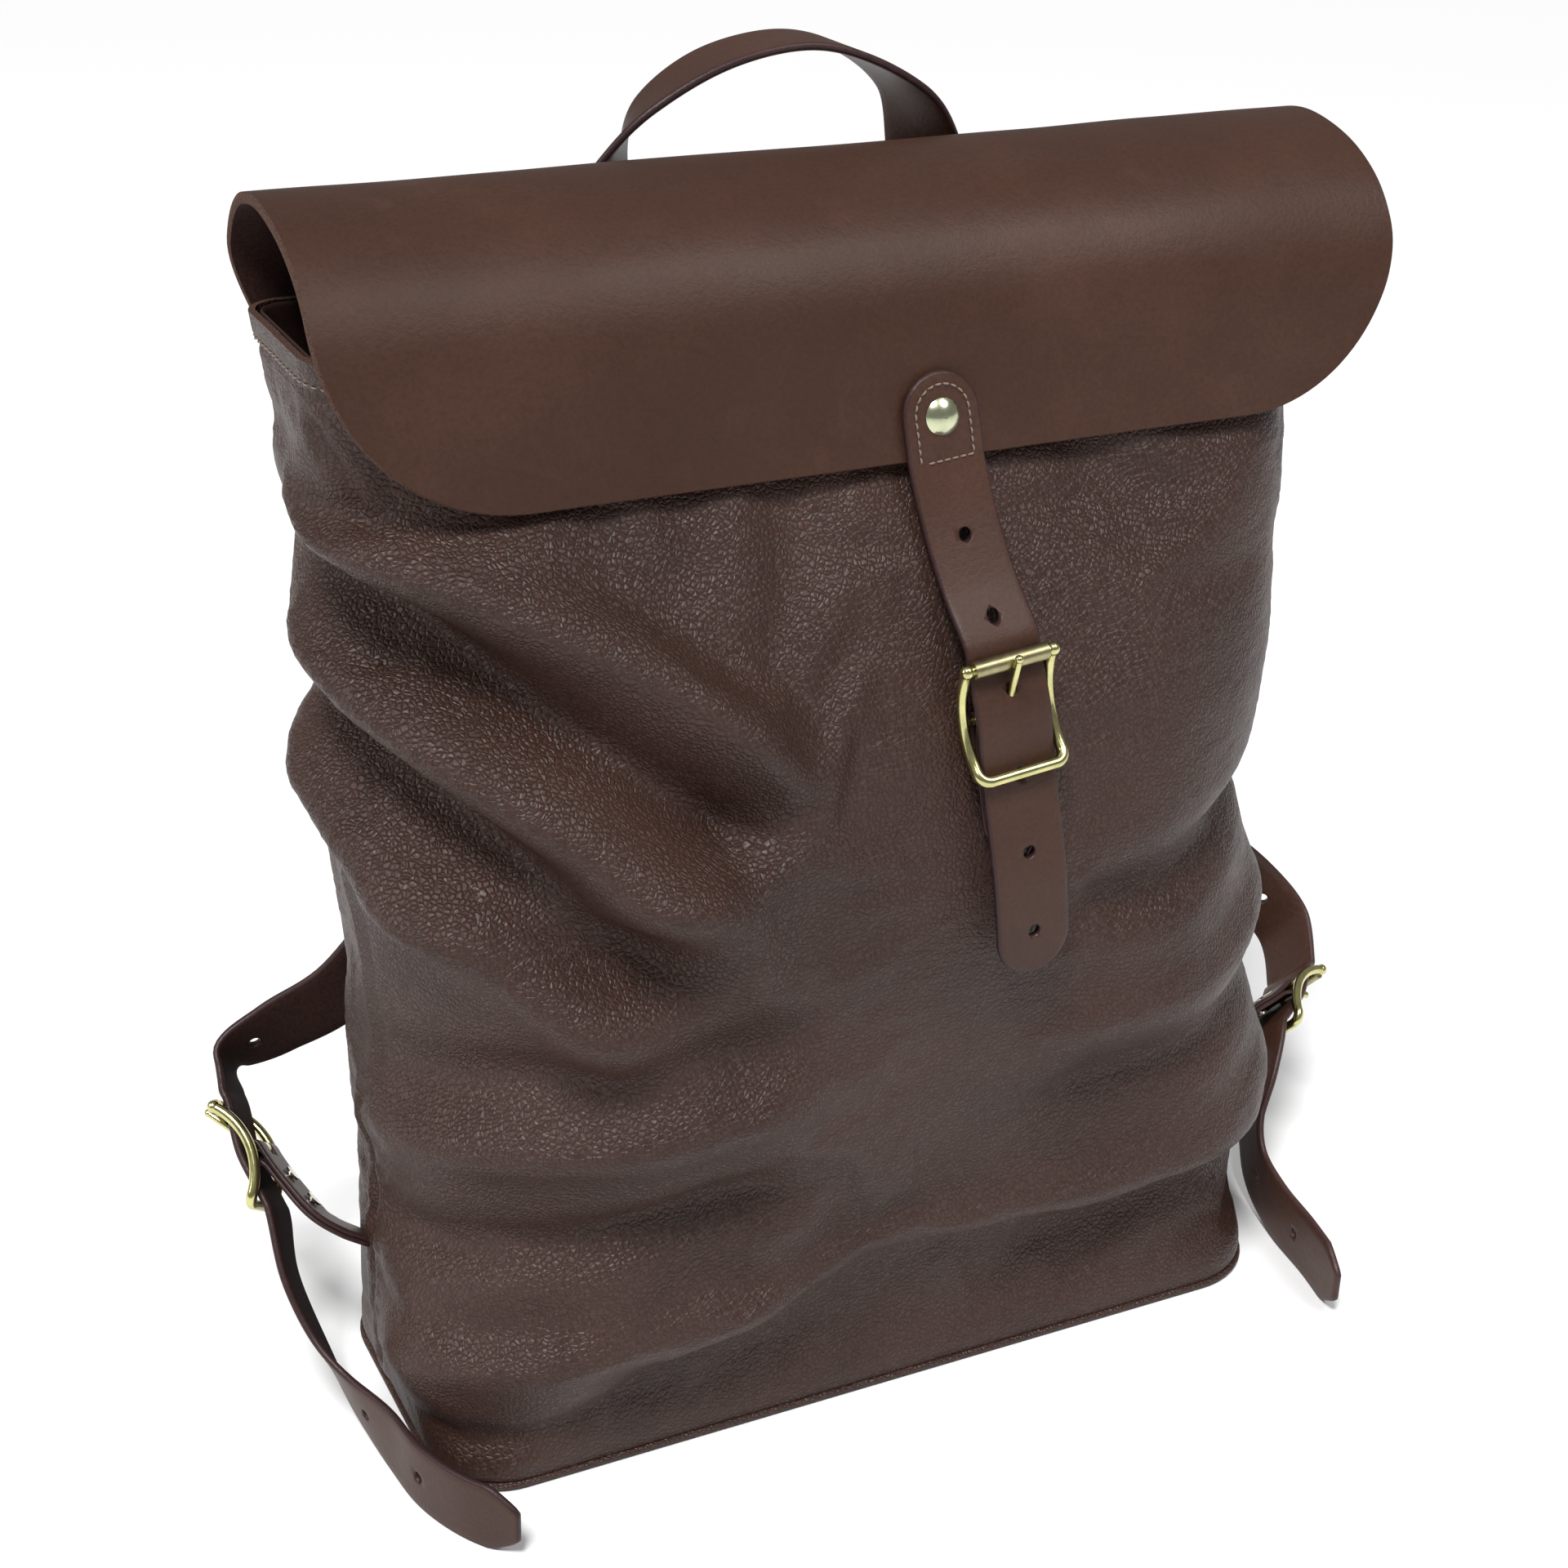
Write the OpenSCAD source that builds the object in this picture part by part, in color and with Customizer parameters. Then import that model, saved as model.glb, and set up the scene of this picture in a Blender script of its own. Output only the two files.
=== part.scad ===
// Leather backpack: flat-bottomed body, one-piece flap, roller-buckle closure,
// carrying handle and two shoulder straps. Millimetres, Z up, the front faces -Y.

/* [Body] */
// Width of the base across the bag
base_w = 342; // [334:1:346]
// Depth of the base from front to back
base_d = 124; // [122:1:126]
// Thickness of the body leather
body_t = 2.4; // [2:0.1:2.6]

/* [Flap] */
// Width of the flap
flap_w = 375; // [368:1:390]
// Thickness of the flap leather
flap_t = 3.6; // [3:0.1:3.8]
// Radius of the flap's lower corners
flap_corner = 60; // [40:1:80]

/* [Closure] */
// Width of the closure strap
strap_w = 25; // [22:0.5:26]
// Diameter of the punched holes
hole_d = 4.6; // [3.6:0.2:5]

/* [Handle] */
// Distance between the handle feet
handle_span = 115; // [112:1:124]
// Width of the handle strap
handle_w = 25; // [22:0.5:27]

/* [Hidden] */
gap = 0.15;
mouth_z = 395;
wall_z = 2.8;
flare = 10;
flare_deg = atan(flare / mouth_z);
strap_t = 2.6;
chape_t = 3.4;
tab_t = 2.8;
thread_t = 0.5;
shaft_r = 1.4;
bore_play = 0.06;
wire_r = 1.9;
knuckle_r = 2.25;
foot_bar_r = 1.9;
bar_r = 1.5;
roller_bar_r = 1.6;
roller_r = 2.8;
roller_len = 26.4;
rail_x = 15.6;
bar_z = 18.6;
end_y = -3.6;
mid_y = 3.7;
bow_sag = mid_y - end_y;
bow_r = (bar_z * bar_z + bow_sag * bow_sag) / (2 * bow_sag);
bow_half = asin(bar_z / bow_r);
bend_r = 1.97;
foot_bend = 4;
foot_turn = bow_half - foot_bend / bow_r * 180 / PI;
foot_start = [mid_y - bow_r + bow_r * cos(foot_turn), -bow_r * sin(foot_turn)];
foot_dir = [-sin(foot_turn), -cos(foot_turn)];
foot_bar = foot_start + foot_bend * foot_dir;
prong_r = 1.3;
ring_r = 3;
slot_w = 6.4;
steps = 5;
tilt = 5.9;
pivot = [9, 0, 370];
buckle_o = [0, -88.6, 275.5];
buckle_lean = -11;
hinge = [35, 429];
yoke_x = 26;
left_c = [-202, 52, 81];
left_rot = [28, -38, -122];
right_c = [224, 18, 61];
right_rot = [81, 48, 125];
body_c = [0.31, 0.21, 0.18];
flap_c = [0.29, 0.2, 0.16];
strap_c = [0.32, 0.22, 0.18];
brass_c = [0.66, 0.64, 0.36];
steel_c = [0.8, 0.8, 0.78];
thread_c = [0.61, 0.53, 0.46];

// Outer face of the front panel, from the base to the mouth: [y, z].
front_line = [[-base_d / 2, wall_z], [-66, 40], [-75, 90], [-83, 140], [-88.5, 190], [-87.2, 235],
  [-80, 275], [-67.5, 305], [-53, 332], [-42, 352], [-35, 372], [-31, mouth_z]];
// Outer face of the back panel.
back_top_y = 46;
back_line = [[base_d / 2, wall_z], [back_top_y, mouth_z]];
fold_relief = 20;
// Middle of the flap sheet: from its fold at the crest down the front, and from the back up to it.
flap_line = [hinge, [20, 432.4], [4, 431], [-12, 426],
  [-26, 417], [-35, 405], [-39.7, 392], [-42.5, 378], [-45, 364], [-47.5, 350]];
rear_line = [[49.4, 365], [50.8, 383], [52.2, 400], [51.2, 411], [45, 421.5], hinge];

// ---- curves and bands ----
function unit(v) = v / norm(v);
function last(p) = p[len(p) - 1];
function cubic(a, b, c, d, t) =
  0.5 * (2 * b + (c - a) * t + (2 * a - 5 * b + 4 * c - d) * t * t
    + (3 * b - a - 3 * c + d) * t * t * t);
function spline(p, n = steps) = concat(
  [for (i = [0 : len(p) - 2]) for (k = [0 : n - 1])
    cubic(p[max(i - 1, 0)], p[i], p[i + 1], p[min(i + 2, len(p) - 1)], k / n)], [last(p)]);
function along(p, i) = unit(p[min(i + 1, len(p) - 1)] - p[max(i - 1, 0)]);
function shifted(p, s) = [for (i = [0 : len(p) - 1]) let (d = along(p, i)) p[i] + s * [d[1], -d[0]]];
function reversed(p) = [for (i = [len(p) - 1 : -1 : 0]) p[i]];
function band(p, lo, hi) = concat(shifted(p, lo), reversed(shifted(p, hi)));
function back_y(z) = base_d / 2 + (back_top_y - base_d / 2) * (z - wall_z) / (mouth_z - wall_z);
function half_w(z) = base_w / 2 + flare * z / mouth_z;

// A [y, z] profile run across the bag, centred on x.
module across(points, w) {
  translate([-w / 2, 0, 0])
    rotate([90, 0, 90])
      linear_extrude(w)
        polygon(points);
}

// The wedge that gives front and back panels their slightly flared sides.
module flared() {
  rotate([90, 0, 0])
    linear_extrude(400, center = true)
      polygon([[-half_w(0), 0], [half_w(0), 0], [half_w(mouth_z + 5), mouth_z + 5],
        [-half_w(mouth_z + 5), mouth_z + 5]]);
}

// Station frames of a flat strap: along, across its width, and through its thickness.
function frames(pts, wid) = let (c = spline(pts), v = spline(wid))
  [for (i = [0 : len(c) - 1]) let (d = along(c, i), s = unit(v[i] - (v[i] * d) * d))
    [c[i], d, s, cross(d, s)]];

// The last narrow_n stations narrow to that share of the width.
module ribbon(pts, wid, w, t, narrow = 1, narrow_n = 0) {
  f = frames(pts, wid);
  n = len(f);
  function half(i) = i < n - narrow_n ? w / 2
    : w / 2 * (1 - (1 - narrow) * (i - n + narrow_n + 1) / narrow_n);
  corners = [for (i = [0 : n - 1]) for (k = [[-1, -1], [1, -1], [1, 1], [-1, 1]])
    f[i][0] + f[i][2] * k[0] * half(i) + f[i][3] * k[1] * t / 2];
  sides = [for (i = [0 : n - 2]) for (k = [0 : 3])
    let (a = 4 * i + k, b = 4 * i + (k + 1) % 4)
    each [[b + 4, b, a], [a + 4, b + 4, a]]];
  ends = [[0, 1, 2], [0, 2, 3], [4 * n - 1, 4 * n - 2, 4 * n - 3], [4 * n - 1, 4 * n - 3, 4 * n - 4]];
  polyhedron(corners, concat(sides, ends), convexity = 6);
}

// Children turned so that Z runs through the strap at one of its stations.
module at_station(f) {
  multmatrix([[f[1][0], f[2][0], f[3][0], f[0][0]], [f[1][1], f[2][1], f[3][1], f[0][1]],
    [f[1][2], f[2][2], f[3][2], f[0][2]]])
    children();
}

module punched(pts, wid, stations) {
  f = frames(pts, wid);
  difference() {
    children();
    for (i = stations)
      at_station(f[i])
        cylinder(h = 12, d = hole_d, center = true, $fn = 20);
  }
}

// ---- rivets: Z points out of the leather, z = 0 is its outer face ----
module rivet(stack, cap_r, cap_h, burr_r) {
  dome_r = (cap_r * cap_r + cap_h * cap_h) / (2 * cap_h);
  intersection() {
    translate([0, 0, cap_h - dome_r])
      sphere(r = dome_r, $fn = 48);
    translate([0, 0, 0.05])
      cylinder(r = cap_r + 1, h = cap_h + 1, $fn = 48);
  }
  translate([0, 0, -stack - 0.5])
    cylinder(r = shaft_r, h = stack + 0.7, $fn = 24);
  translate([0, 0, -stack - 1])
    cylinder(r = burr_r, h = 0.9, $fn = 32);
}

module rivet_bore() {
  cylinder(r = shaft_r + bore_play, h = 30, center = true, $fn = 24);
}

// ---- buckle in its own frame: X along the bars, Z up the strap, -Y outward ----
rail_lap = 0.3;

module buckle_rail(x) {
  translate([x, mid_y - bow_r, 0])
    rotate([90, 0, 90])
      rotate([0, 0, -foot_turn - rail_lap])
        rotate_extrude(angle = foot_turn + rail_lap + bow_half, $fn = 96)
          translate([bow_r, 0])
            circle(r = wire_r, $fn = 24);
  translate([x, end_y, bar_z])
    sphere(r = knuckle_r, $fn = 24);
}

// The bend from a rail into the foot bar.
module foot_corner(side) {
  multmatrix([[side, 0, 0, side * (rail_x - foot_bend)],
    [0, foot_dir[0], -side * foot_dir[1], foot_start[0]],
    [0, foot_dir[1], side * foot_dir[0], foot_start[1]]])
    rotate_extrude(angle = 90, $fn = 48)
      translate([foot_bend, 0])
        circle(r = bend_r, $fn = 24);
}

module cross_bar(y, z, r, half = rail_x) {
  translate([-half, y, z])
    rotate([0, 90, 0])
      cylinder(r = r, h = 2 * half, $fn = 24);
}

module buckle_frame() {
  buckle_rail(-rail_x);
  buckle_rail(rail_x);
  cross_bar(end_y, bar_z, roller_bar_r);
  foot_corner(-1);
  foot_corner(1);
  cross_bar(foot_bar[0], foot_bar[1], foot_bar_r, rail_x - foot_bend + 0.2);
  cross_bar(mid_y, 0, bar_r);
}

module buckle_roller() {
  translate([-roller_len / 2, end_y, bar_z])
    rotate([0, 90, 0])
      difference() {
        cylinder(r = roller_r, h = roller_len, $fn = 48);
        translate([0, 0, -1])
          cylinder(r = roller_bar_r + bore_play, h = roller_len + 2, $fn = 24);
      }
}

prong_tip = [0, end_y - roller_r - prong_r - 2.05, bar_z + 1.6];
prong_root = [0, mid_y, 0];
prong_v = prong_tip - prong_root;
prong_tilt = atan2(-prong_v[1], prong_v[2]);

module prong_line(r, extra = 0) {
  translate(prong_root)
    rotate([prong_tilt, 0, 0])
      cylinder(r = r, h = norm(prong_v) + extra, $fn = 24);
}

module buckle_tongue() {
  difference() {
    union() {
      translate([-2.4, mid_y, 0])
        rotate([0, 90, 0])
          cylinder(r = ring_r, h = 4.8, $fn = 32);
      prong_line(prong_r);
      translate(prong_tip)
        sphere(r = prong_r + 0.15, $fn = 24);
    }
    translate([-5, mid_y, 0])
      rotate([0, 90, 0])
        cylinder(r = bar_r + bore_play, h = 10, $fn = 24);
  }
}

module chape_loop(w) {
  difference() {
    translate([-w / 2, mid_y, 0])
      rotate([0, 90, 0])
        cylinder(r = chape_t + 0.12, h = w, $fn = 48);
    translate([-w, mid_y, 0])
      rotate([0, 90, 0])
        cylinder(r = bar_r + bore_play, h = 2 * w, $fn = 24);
  }
}

// Room for the tongue in a chape.
module tongue_slot(up = 12, down = 7) {
  translate([-slot_w / 2, mid_y - 12, -down])
    cube([slot_w, 18, up + down]);
}

// ---- the front closure hangs a little off vertical ----
module on_closure() {
  translate(pivot)
    rotate([0, -tilt, 0])
      translate([0, 0, -pivot[2]])
        children();
}

module at_front_buckle() {
  on_closure()
    translate(buckle_o)
      rotate([buckle_lean, 0, 0])
        children();
}

function front_at(p) = [buckle_o[1] + p[0] * cos(buckle_lean) - p[1] * sin(buckle_lean),
  buckle_o[2] + p[0] * sin(buckle_lean) + p[1] * cos(buckle_lean)];

leaf_y = -46.45;
leaf_top = 377;
leaf_slope = 5 / 28;
leaf_lean = atan(leaf_slope);
rivet_z = 364;
function leaf_at(z) = [leaf_y - (leaf_top - z) * leaf_slope, z];
closure_line = [leaf_at(leaf_top), leaf_at(358), leaf_at(349), [-58.5, 332], [-69.8, 314],
  front_at([1, 25]), front_at([0.9, 18]), front_at([-1.3, 0]), front_at([0.9, -18]),
  front_at([0.9, -25]), [-97, 222], [-97.8, 200], [-97.8, 185]];

module at_flap_face(z) {
  translate([0, leaf_at(z)[0] - strap_t / 2 / cos(leaf_lean), z])
    rotate([90 - leaf_lean, 0, 0])
      children();
}

// ---- body ----
module front_panel() {
  color(body_c)
    difference() {
      intersection() {
        across(band(spline(front_line), 0, body_t), 400);
        flared();
      }
      chape_bores();
    }
}

module back_panel() {
  color(body_c)
    difference() {
      intersection() {
        across(band(back_line, 0, -body_t), 400);
        flared();
      }
      yoke_bores();
      handle_bores();
    }
}

function inner_front() = shifted(spline(front_line), body_t + gap);
function inner_back() = shifted(back_line, -body_t - gap);

// side = -1 left, 1 right
module gusset(side) {
  color(body_c)
    translate([side * base_w / 2, 0, 0])
      rotate([0, side * flare_deg, 0])
        translate([-side * body_t / 2, 0, 0])
          intersection() {
            across(concat(inner_front(), reversed(inner_back())), body_t);
            translate([-50, -100, wall_z])
              cube([100, 200, mouth_z - wall_z]);
          }
}

module gusset_left() {
  gusset(-1);
}

module gusset_right() {
  gusset(1);
}

module rounded_plate(w, d, h, r) {
  linear_extrude(h)
    difference() {
      square([w, d], center = true);
      for (sx = [-1, 1]) for (sy = [-1, 1])
        translate([sx * (w / 2 - r), sy * (d / 2 - r)])
          difference() {
            translate([sx * r, sy * r] - [r, r])
              square(2 * r);
            circle(r = r, $fn = 48);
          }
    }
}

module base_panel() {
  color(body_c)
    rounded_plate(base_w, base_d, wall_z - 0.2, 6);
}

module base_board() {
  color([0.35, 0.3, 0.24])
    translate([0, 0, wall_z + 0.1])
      rounded_plate(base_w - 12, base_d - 12, 2.4, 4);
}

facing_h = 27;
facing_t = 1.3;

module facing_ring(inset) {
  f = shifted(spline(front_line), body_t + inset);
  b = shifted(back_line, -body_t - inset);
  intersection() {
    across(concat(f, reversed(b)), 400);
    rotate([90, 0, 0])
      linear_extrude(400, center = true)
        polygon([[-half_w(0) + inset + body_t, 0], [half_w(0) - inset - body_t, 0],
          [half_w(mouth_z) - inset - body_t, mouth_z], [-half_w(mouth_z) + inset + body_t, mouth_z]]);
    translate([-200, -200, mouth_z - facing_h])
      cube([400, 400, facing_h - 0.5]);
  }
}

module mouth_facing() {
  color(flap_c)
    difference() {
      facing_ring(gap + 0.1);
      facing_ring(gap + 0.1 + facing_t);
      handle_bores();
    }
}

// ---- flap ----
module flap_rear() {
  color(flap_c)
    difference() {
      across(band(spline(rear_line), flap_t / 2, -flap_t / 2), flap_w);
      translate([-200, hinge[0], hinge[1]])
        rotate([0, 90, 0])
          cylinder(r = flap_t / 2 + bore_play, h = 400, $fn = 48);
      translate([-200, hinge[0], hinge[1]])
        rotate([-fold_relief, 0, 0])
          translate([0, -6, 0])
            cube([400, 6 + flap_t / 2 + 0.15, 10]);
      handle_bores();
    }
}

module corner_cut(side) {
  translate([side * (flap_w / 2 - flap_corner), 0, 350 - 0.4 + flap_corner])
    rotate([90, 0, 0])
      linear_extrude(200)
        difference() {
          translate([side > 0 ? 0 : -flap_corner - 5, -flap_corner - 5])
            square([flap_corner + 5, flap_corner + 5]);
          circle(r = flap_corner, $fn = 96);
        }
}

module flap_front() {
  color(flap_c)
    difference() {
      union() {
        across(band(spline(flap_line), flap_t / 2, -flap_t / 2), flap_w);
        translate([-flap_w / 2, hinge[0], hinge[1]])
          rotate([0, 90, 0])
            cylinder(r = flap_t / 2, h = flap_w, $fn = 48);
      }
      corner_cut(-1);
      corner_cut(1);
      on_closure()
        at_flap_face(rivet_z)
          rivet_bore();
    }
}

// ---- closure strap ----
hole_z = [200, 229, 256, 306, 328];

module closure_outline() {
  top = closure_line[0][1];
  foot = last(closure_line)[1];
  r = strap_w / 2;
  for (z = [top - r, foot + r])
    translate([0, z])
      circle(r = r, $fn = 64);
  translate([-r, foot + r])
    square([2 * r, top - foot - 2 * r]);
}

module closure_strap() {
  color(strap_c)
    difference() {
      on_closure()
        intersection() {
          across(band(spline(closure_line), strap_t / 2, -strap_t / 2), strap_w);
          rotate([90, 0, 0])
            linear_extrude(200)
              closure_outline();
        }
      on_closure()
        for (z = hole_z)
          translate([0, -70, z])
            rotate([90, 0, 0])
              cylinder(d = hole_d, h = 80, center = true, $fn = 24);
      on_closure()
        at_flap_face(rivet_z)
          rivet_bore();
      at_front_buckle()
        prong_line(prong_r + 0.7, 2);
    }
}

stitch_in = 2.6;
stitch_w = 0.9;
stitch_h = 27;

module stitch_shape(inset) {
  r = strap_w / 2 - inset;
  c = (closure_line[0][1] - rivet_z) / cos(leaf_lean) - strap_w / 2;
  translate([0, c])
    circle(r = r, $fn = 64);
  translate([-r, c - stitch_h + strap_w / 2 + inset])
    square([2 * r, stitch_h - strap_w / 2 - inset]);
}

module closure_stitching() {
  color(thread_c)
    on_closure()
      at_flap_face(rivet_z)
        translate([0, 0, 0.06])
          linear_extrude(thread_t)
            difference() {
              stitch_shape(stitch_in);
              stitch_shape(stitch_in + stitch_w);
            }
}

module closure_rivet() {
  color(brass_c)
    on_closure()
      at_flap_face(rivet_z)
        translate([0, 0, 0.12])
          rivet(strap_t + flap_t + 1.1, 6, 2.4, 4.4);
}

// ---- front chape and buckle ----
front_chape_l = 41;
chape_rivet_z = [-24.5, -33];
chape_back = mid_y + chape_t;

module front_chape() {
  color(strap_c)
    at_front_buckle()
      difference() {
        union() {
          chape_loop(strap_w - 1);
          translate([-strap_w / 2 + 0.5, mid_y, -front_chape_l])
            cube([strap_w - 1, chape_t, front_chape_l]);
        }
        translate([-strap_w, mid_y, 0])
          rotate([0, 90, 0])
            cylinder(r = bar_r + bore_play, h = 2 * strap_w, $fn = 24);
        tongue_slot();
        for (z = chape_rivet_z)
          translate([0, mid_y, z])
            rotate([90, 0, 0])
              rivet_bore();
      }
}

module chape_bores() {
  at_front_buckle()
    for (z = chape_rivet_z)
      translate([0, chape_back, z])
        rotate([90, 0, 0])
          rivet_bore();
}

module front_chape_rivets() {
  color(brass_c)
    at_front_buckle()
      for (z = chape_rivet_z)
        translate([0, mid_y, z])
          rotate([90, 0, 0])
            rivet(chape_t + body_t + 1.8, 3.6, 0.9, 3.4);
}

module front_buckle() {
  color(brass_c)
    at_front_buckle()
      buckle_frame();
}

module front_roller() {
  color(brass_c)
    at_front_buckle()
      buckle_roller();
}

module front_tongue() {
  color(brass_c)
    at_front_buckle()
      buckle_tongue();
}

// ---- handle ----
tab_foot = [51.4, 366];
tab_slope = 2.8 / 30;
tab_lean = atan(tab_slope);
tab_line = [tab_foot + [tab_t / 2, 0], tab_foot + [tab_t / 2 + 30 * tab_slope, 30]];
handle_axis = [tab_line[1][0] + 0.15, tab_line[1][1] + 1.4];
handle_rivet_z = [373, 387];
foot_r = tab_t / 2 + 0.07;
foot_inset = 0.3;
crown_x = 6;

module at_tab(side, z) {
  translate([side * handle_span / 2, tab_line[0][0] + (z - tab_foot[1]) * tab_slope + tab_t / 2, z])
    rotate([-90 - tab_lean, 0, 0])
      children();
}

module handle_bores() {
  for (side = [-1, 1]) for (z = handle_rivet_z)
    at_tab(side, z)
      rivet_bore();
}

module handle_tabs() {
  color(strap_c)
    difference() {
      for (side = [-1, 1])
        translate([side * handle_span / 2, 0, 0])
          across(band(tab_line, tab_t / 2, -tab_t / 2), handle_w);
      translate([-200, handle_axis[0], handle_axis[1]])
        rotate([0, 90, 0])
          cylinder(r = foot_r + bore_play, h = 400, $fn = 32);
      handle_bores();
    }
}

// From the right foot over the top to the left foot.
h2 = handle_span / 2;
hy = handle_axis[0];
handle_pts = [[h2, hy, handle_axis[1]], [h2, hy + 1.1, 410], [h2, hy + 2.8, 424],
  [h2 - 8, hy + 2.8, 442], [h2 - 28, hy + 3, 455.5], [crown_x, hy + 3, 461],
  [35 - h2, hy + 3, 456], [11 - h2, hy + 2.8, 442], [-h2, hy + 2.8, 424],
  [-h2, hy + 1.1, 410], [-h2, hy, handle_axis[1]]];
handle_wid = [[-1, 0, 0], [-1, 0, 0], [-0.72, 0.7, 0], [-0.3, 0.95, 0], [-0.05, 1, 0], [0, 1, 0],
  [0.05, 1, 0], [0.3, 0.95, 0], [0.72, 0.7, 0], [1, 0, 0], [1, 0, 0]];

module handle_loop() {
  color(strap_c)
    union() {
      ribbon(handle_pts, handle_wid, handle_w, tab_t);
      for (side = [-1, 1])
        translate([side * h2 - handle_w / 2 + foot_inset, handle_axis[0], handle_axis[1]])
          rotate([0, 90, 0])
            cylinder(r = foot_r, h = handle_w - 2 * foot_inset, $fn = 32);
    }
}

module handle_rivets() {
  color(brass_c)
    for (side = [-1, 1]) for (z = handle_rivet_z)
      at_tab(side, z)
        translate([0, 0, 0.1])
          rivet(tab_t + flap_t + body_t + facing_t + (z > 380 ? 5.2 : 3), 4.4, 1.3, 4);
}

// ---- yoke on the back ----
yoke_w = 96;
yoke_z = [316, 360];
yoke_t = 2;
yoke_rivet_z = [333, 347];
back_lean = atan((base_d / 2 - back_top_y) / (mouth_z - wall_z));

module at_yoke(x, z) {
  translate([x, back_y(z) + 0.1 + yoke_t + 0.15 + strap_t, z])
    rotate([-90 + back_lean, 0, 0])
      children();
}

module yoke_bores() {
  for (side = [-1, 1]) for (z = yoke_rivet_z)
    at_yoke(side * yoke_x, z)
      rivet_bore();
}

module strap_yoke() {
  color(strap_c)
    difference() {
      across([for (z = yoke_z) each [[back_y(z) + 0.1 + (z == yoke_z[0] ? 0 : yoke_t), z],
        [back_y(z) + 0.1 + (z == yoke_z[0] ? yoke_t : 0), z]]], yoke_w);
      yoke_bores();
    }
}

module yoke_rivets() {
  color(brass_c)
    for (side = [-1, 1]) for (z = yoke_rivet_z)
      at_yoke(side * yoke_x, z)
        translate([0, 0, 0.1])
          rivet(strap_t + yoke_t + body_t + 0.7, 4.4, 1.3, 4);
}

// ---- shoulder straps ----
module at_side_buckle(side) {
  translate(side < 0 ? left_c : right_c)
    rotate(side < 0 ? left_rot : right_rot)
      children();
}

function turned(p, a) = let (
  x1 = [p[0], p[1] * cos(a[0]) - p[2] * sin(a[0]), p[1] * sin(a[0]) + p[2] * cos(a[0])],
  x2 = [x1[0] * cos(a[1]) + x1[2] * sin(a[1]), x1[1], -x1[0] * sin(a[1]) + x1[2] * cos(a[1])])
  [x2[0] * cos(a[2]) - x2[1] * sin(a[2]), x2[0] * sin(a[2]) + x2[1] * cos(a[2]), x2[2]];
function left_at(p) = left_c + turned(p, left_rot);
function right_at(p) = right_c + turned(p, right_rot);

function strap_y(z) = back_y(z) + 0.1 + yoke_t + 0.15 + strap_t / 2;
lw = turned([1, 0, 0], left_rot);
rw = -turned([1, 0, 0], right_rot);

left_pts = [[-yoke_x, strap_y(356), 356], [-yoke_x - 2, strap_y(334), 334],
  [-47, strap_y(300) + 0.6, 300], [-88, 57, 235], [-128, 61.5, 175], [-158, 68, 134],
  [-184, 75, 117], [-202, 77, 108], left_at([0, 1, 25]), left_at([0, 0.9, 18]),
  left_at([0, -1.3, 0]), left_at([0, 0.9, -18]), left_at([0, 1, -25]), [-199, 21, 47], [-194, 5, 28],
  [-188, -14, 16.5], [-182, -38, 13.2], [-178.5, -60, 12.8], [-170, -80, 12.7], [-157, -97, 12.7]];
left_wid = [[-1, 0, 0], [-1, 0, 0.1], [-0.85, 0, 0.52], [-0.82, 0, 0.56], [-0.75, 0, 0.66],
  [-0.4, -0.05, 0.9], [-0.2, -0.2, 0.95], [-0.25, -0.45, 0.8], lw, lw, lw, lw, lw,
  [-0.35, -0.8, 0.5], [-0.3, -0.75, 0.6], [-0.15, -0.5, 0.85], [0, -0.1, 1], [0, 0, 1], [0, 0, 1],
  [0, 0, 1]];
right_pts = [[yoke_x, strap_y(356), 356], [yoke_x + 2, strap_y(334), 334],
  [47, strap_y(300) + 0.6, 300], [90, 57, 237], [135, 61.5, 182], [172, 66, 147],
  [206, 68, 120], [233, 62, 97], [247, 51, 78], right_at([0, 1, 25]), right_at([0, 0.9, 18]),
  right_at([0, -1.3, 0]), right_at([0, 0.9, -18]), right_at([0, 1, -25]), [198, -7, 49],
  [191, -15, 33], [186, -28, 19], [182, -50, 13.6], [179, -75, 12.8], [174, -100, 12.7]];
right_wid = [[1, 0, 0], [1, 0, 0.1], [0.85, 0, 0.52], [0.8, 0, 0.58], [0.7, 0, 0.7],
  [0.5, -0.1, 0.8], [0.4, -0.2, 0.85], [0.4, -0.3, 0.8], [0.4, -0.4, 0.8], rw, rw, rw, rw, rw,
  [0.05, -0.8, 0.6], [-0.2, -0.75, 0.6], [-0.1, -0.45, 0.9], [0, -0.1, 1], [0, 0, 1], [0, 0, 1]];
left_holes = [32, 70, 77, 85];
right_holes = [37, 74, 81, 88];

module shoulder(side, pts, wid, holes) {
  color(strap_c)
    difference() {
      punched(pts, wid, holes)
        ribbon(pts, wid, strap_w, strap_t, 0.45, 3);
      at_side_buckle(side)
        prong_line(prong_r + 0.7, 2);
      yoke_bores();
    }
}

module strap_left() {
  shoulder(-1, left_pts, left_wid, left_holes);
}

module strap_right() {
  shoulder(1, right_pts, right_wid, right_holes);
}

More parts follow.
